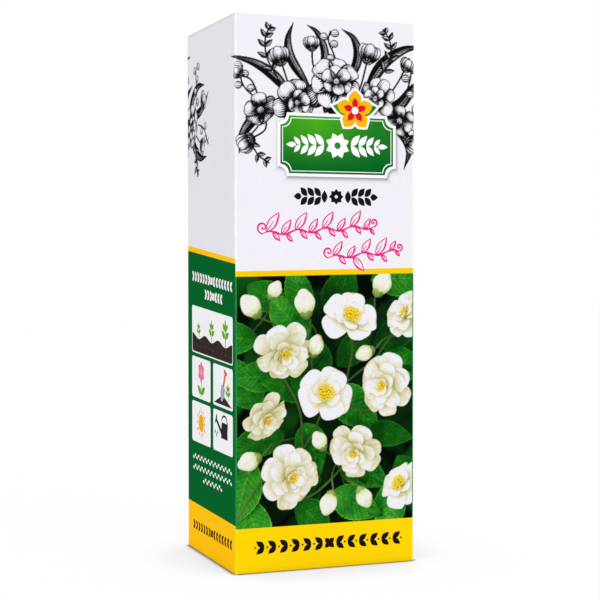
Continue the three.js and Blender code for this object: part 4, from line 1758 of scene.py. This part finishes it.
def bent_board(name, middle, start, end, reach, axis):
    """A crease: board bent round a middle from one angle to another, flat at both ends, drawn out along X or
    Y."""
    angles = np.radians(np.linspace(start, end, BEND_STEPS + 1))
    out = np.stack([np.cos(angles), np.sin(angles)], -1)
    way = np.stack([-out[:, 1], out[:, 0]], -1) * math.copysign(1, end - start)

    def layer(radius):
        return [middle + out[0] * radius - way[0] * BEND_TAIL, *(middle + out * radius),
                middle + out[-1] * radius + way[-1] * BEND_TAIL]

    def at(along, p):
        return (along, *p) if axis == "X" else (p[0], along, p[1])

    outer, core, inner = (layer(BEND_RADIUS - depth) for depth in (0, BOARD / 2, BOARD))
    count, far = len(outer), 2 * len(outer)
    points = np.array([at(along, p) for along in reach for p in outer + inner]) * MM
    faces, inks = [], []
    for a in range(count - 1):
        b, c, d = a + 1, count + a + 1, count + a
        faces += [[a, b, b + far, a + far], [c, d, d + far, c + far], [b, a, d, c],
                  [a + far, b + far, c + far, d + far]]
        inks += [0, 1, 2, 2]
    faces += [[0, far, far + count, count], [far - 1, 2 * far - 1, far + count - 1, count - 1]]
    mesh = mesh_of(name, points, faces, ("white_coat", "bare_board", "cut_pulp"))
    mesh.polygons.foreach_set("material_index", inks + [2, 2])
    piece = take(linked(name, mesh))
    bpy.ops.object.mode_set(mode="EDIT")
    bpy.ops.mesh.select_all(action="SELECT")
    bpy.ops.mesh.normals_make_consistent(inside=False)
    leave_edit()
    smooth(piece, 50)
    bend_start, bend_end = (tuple(np.array(at(0, core[k])) * MM) for k in (1, -2))
    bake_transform(piece)


def make_creases():
    """The bends from the back wall to the lid and its flap, and from the side walls to the dust flaps."""
    half, middle = HALF_W - FOLD_END, np.array((HALF_D - BEND_RADIUS, BEND_MIDDLE))
    bent_board("lid_crease", middle, 0, 90, (-half, half), "X")
    half, middle = TUCK_HALF, tuck_bend()[0]
    bent_board("tuck_crease", middle, 90, 180 + TUCK_LEAN, (-half, half), "X")
    for flap, sign in (("dust_left", -1), ("dust_right", 1)):
        middle = np.array((sign * (HALF_W - BEND_RADIUS), FLAP_MIDDLE))
        bent_board(flap + "_crease", middle, 90 - 90 * sign, 90, DUST_ROOT, "Y")


make_bottom()
make_glue_flap()
make_lid()
make_tuck_flap()
make_dust_flap("left", -1)
make_dust_flap("right", 1)
make_creases()


# ---------------------------------------------------------------- studio

CAMERA_PLACE = (-0.27588, -0.72808, 0.15702)
CAMERA_TURN = -20.841    # degrees to the right of the front's own middle line
CAMERA_DROP = 1.5469     # degrees that it looks down
LENS = 87.189
SKY_LIGHT = 0.84         # how strongly the sky lights the board
FLOOR_LIGHT = 0.925      # how bright the open floor shows
CONTACT_SHADOW_REACH = 0.003    # metres over which a painted contact shadow darkens the floor where the carton stands
SHADE_REACH = 0.06       # and over which a faint painted shade reaches
FLOOR_SIZE = 8
LAMP_PLACE, LAMP_TARGET = (0.9, -1.6, 1.1), (0, 0, 0.15)
LAMP_SIZE, LAMP_POWER = 1.2, 6


def add_camera():
    data = bpy.data.cameras.new("camera")
    data.lens = LENS
    data.sensor_width = 36
    camera = linked("camera", data)
    camera.location = CAMERA_PLACE
    camera.rotation_euler = (math.radians(90 - CAMERA_DROP), 0, math.radians(CAMERA_TURN))
    bpy.context.scene.camera = camera


def floor_paper():
    """White glowing paper, with a painted shadow where the carton stands."""
    nodes = Nodes("floor_paper")
    near, wide = (nodes.add("AmbientOcclusion", samples=8, Distance=reach).outputs["AO"]
                  for reach in (CONTACT_SHADOW_REACH, SHADE_REACH))
    # Painted shadow: ambient occlusion dims the floor's glow, sharply at the carton's foot and faintly
    # further out.
    painted_contact_shadow = nodes.ranged(near, 0.5, 1.0, 0.1, 1.0)
    covered = nodes.reckon("POWER", nodes.reckon("SUBTRACT", 1.0, wide), 2.0)
    painted_wide_shade = nodes.reckon("SUBTRACT", 1.0, nodes.reckon("MULTIPLY", covered, 0.8))
    light = nodes.reckon("MULTIPLY", nodes.reckon("MULTIPLY", painted_contact_shadow, painted_wide_shade), FLOOR_LIGHT)
    nodes.join(light, nodes.shader.inputs["Emission Strength"])
    nodes.set(Base_Color=(0.1, 0.098, 0.12, 1), Roughness=1.0, Specular_IOR_Level=0.0,
              Emission_Color=(1, 0.99, 1, 1))
    return nodes.material


def add_floor():
    deselect()
    bpy.ops.mesh.primitive_plane_add(size=FLOOR_SIZE, location=(0, 0, 0))
    floor = bpy.context.object
    floor.name = "floor"
    floor.data.materials.append(floor_paper())
    floor.visible_glossy = False


def soft_sky():
    """An even sky that the board is lit by, white where it is seen, and not mirrored in gloss."""
    world = bpy.data.worlds.new("studio")
    world.use_nodes = True
    nodes, links = world.node_tree.nodes, world.node_tree.links
    ray, strength = nodes.new("ShaderNodeLightPath"), nodes.new("ShaderNodeMapRange")
    links.new(ray.outputs["Is Camera Ray"], strength.inputs["Value"])
    strength.inputs["To Min"].default_value = SKY_LIGHT
    links.new(strength.outputs["Result"], nodes["Background"].inputs["Strength"])
    nodes["Background"].inputs["Color"].default_value = (1, 1, 1, 1)
    bpy.context.scene.world = world
    world.cycles_visibility.glossy = False


def add_key_lamp():
    """A soft lamp before the front wall, to its right."""
    data = bpy.data.lights.new("key", "AREA")
    data.size = LAMP_SIZE
    data.energy = LAMP_POWER
    lamp = linked("key", data)
    lamp.location = LAMP_PLACE
    lamp.rotation_euler = (Vector(LAMP_TARGET) - lamp.location).to_track_quat("-Z", "Y").to_euler()


add_camera()
add_floor()
soft_sky()
add_key_lamp()
bpy.context.scene.view_settings.view_transform = "Standard"
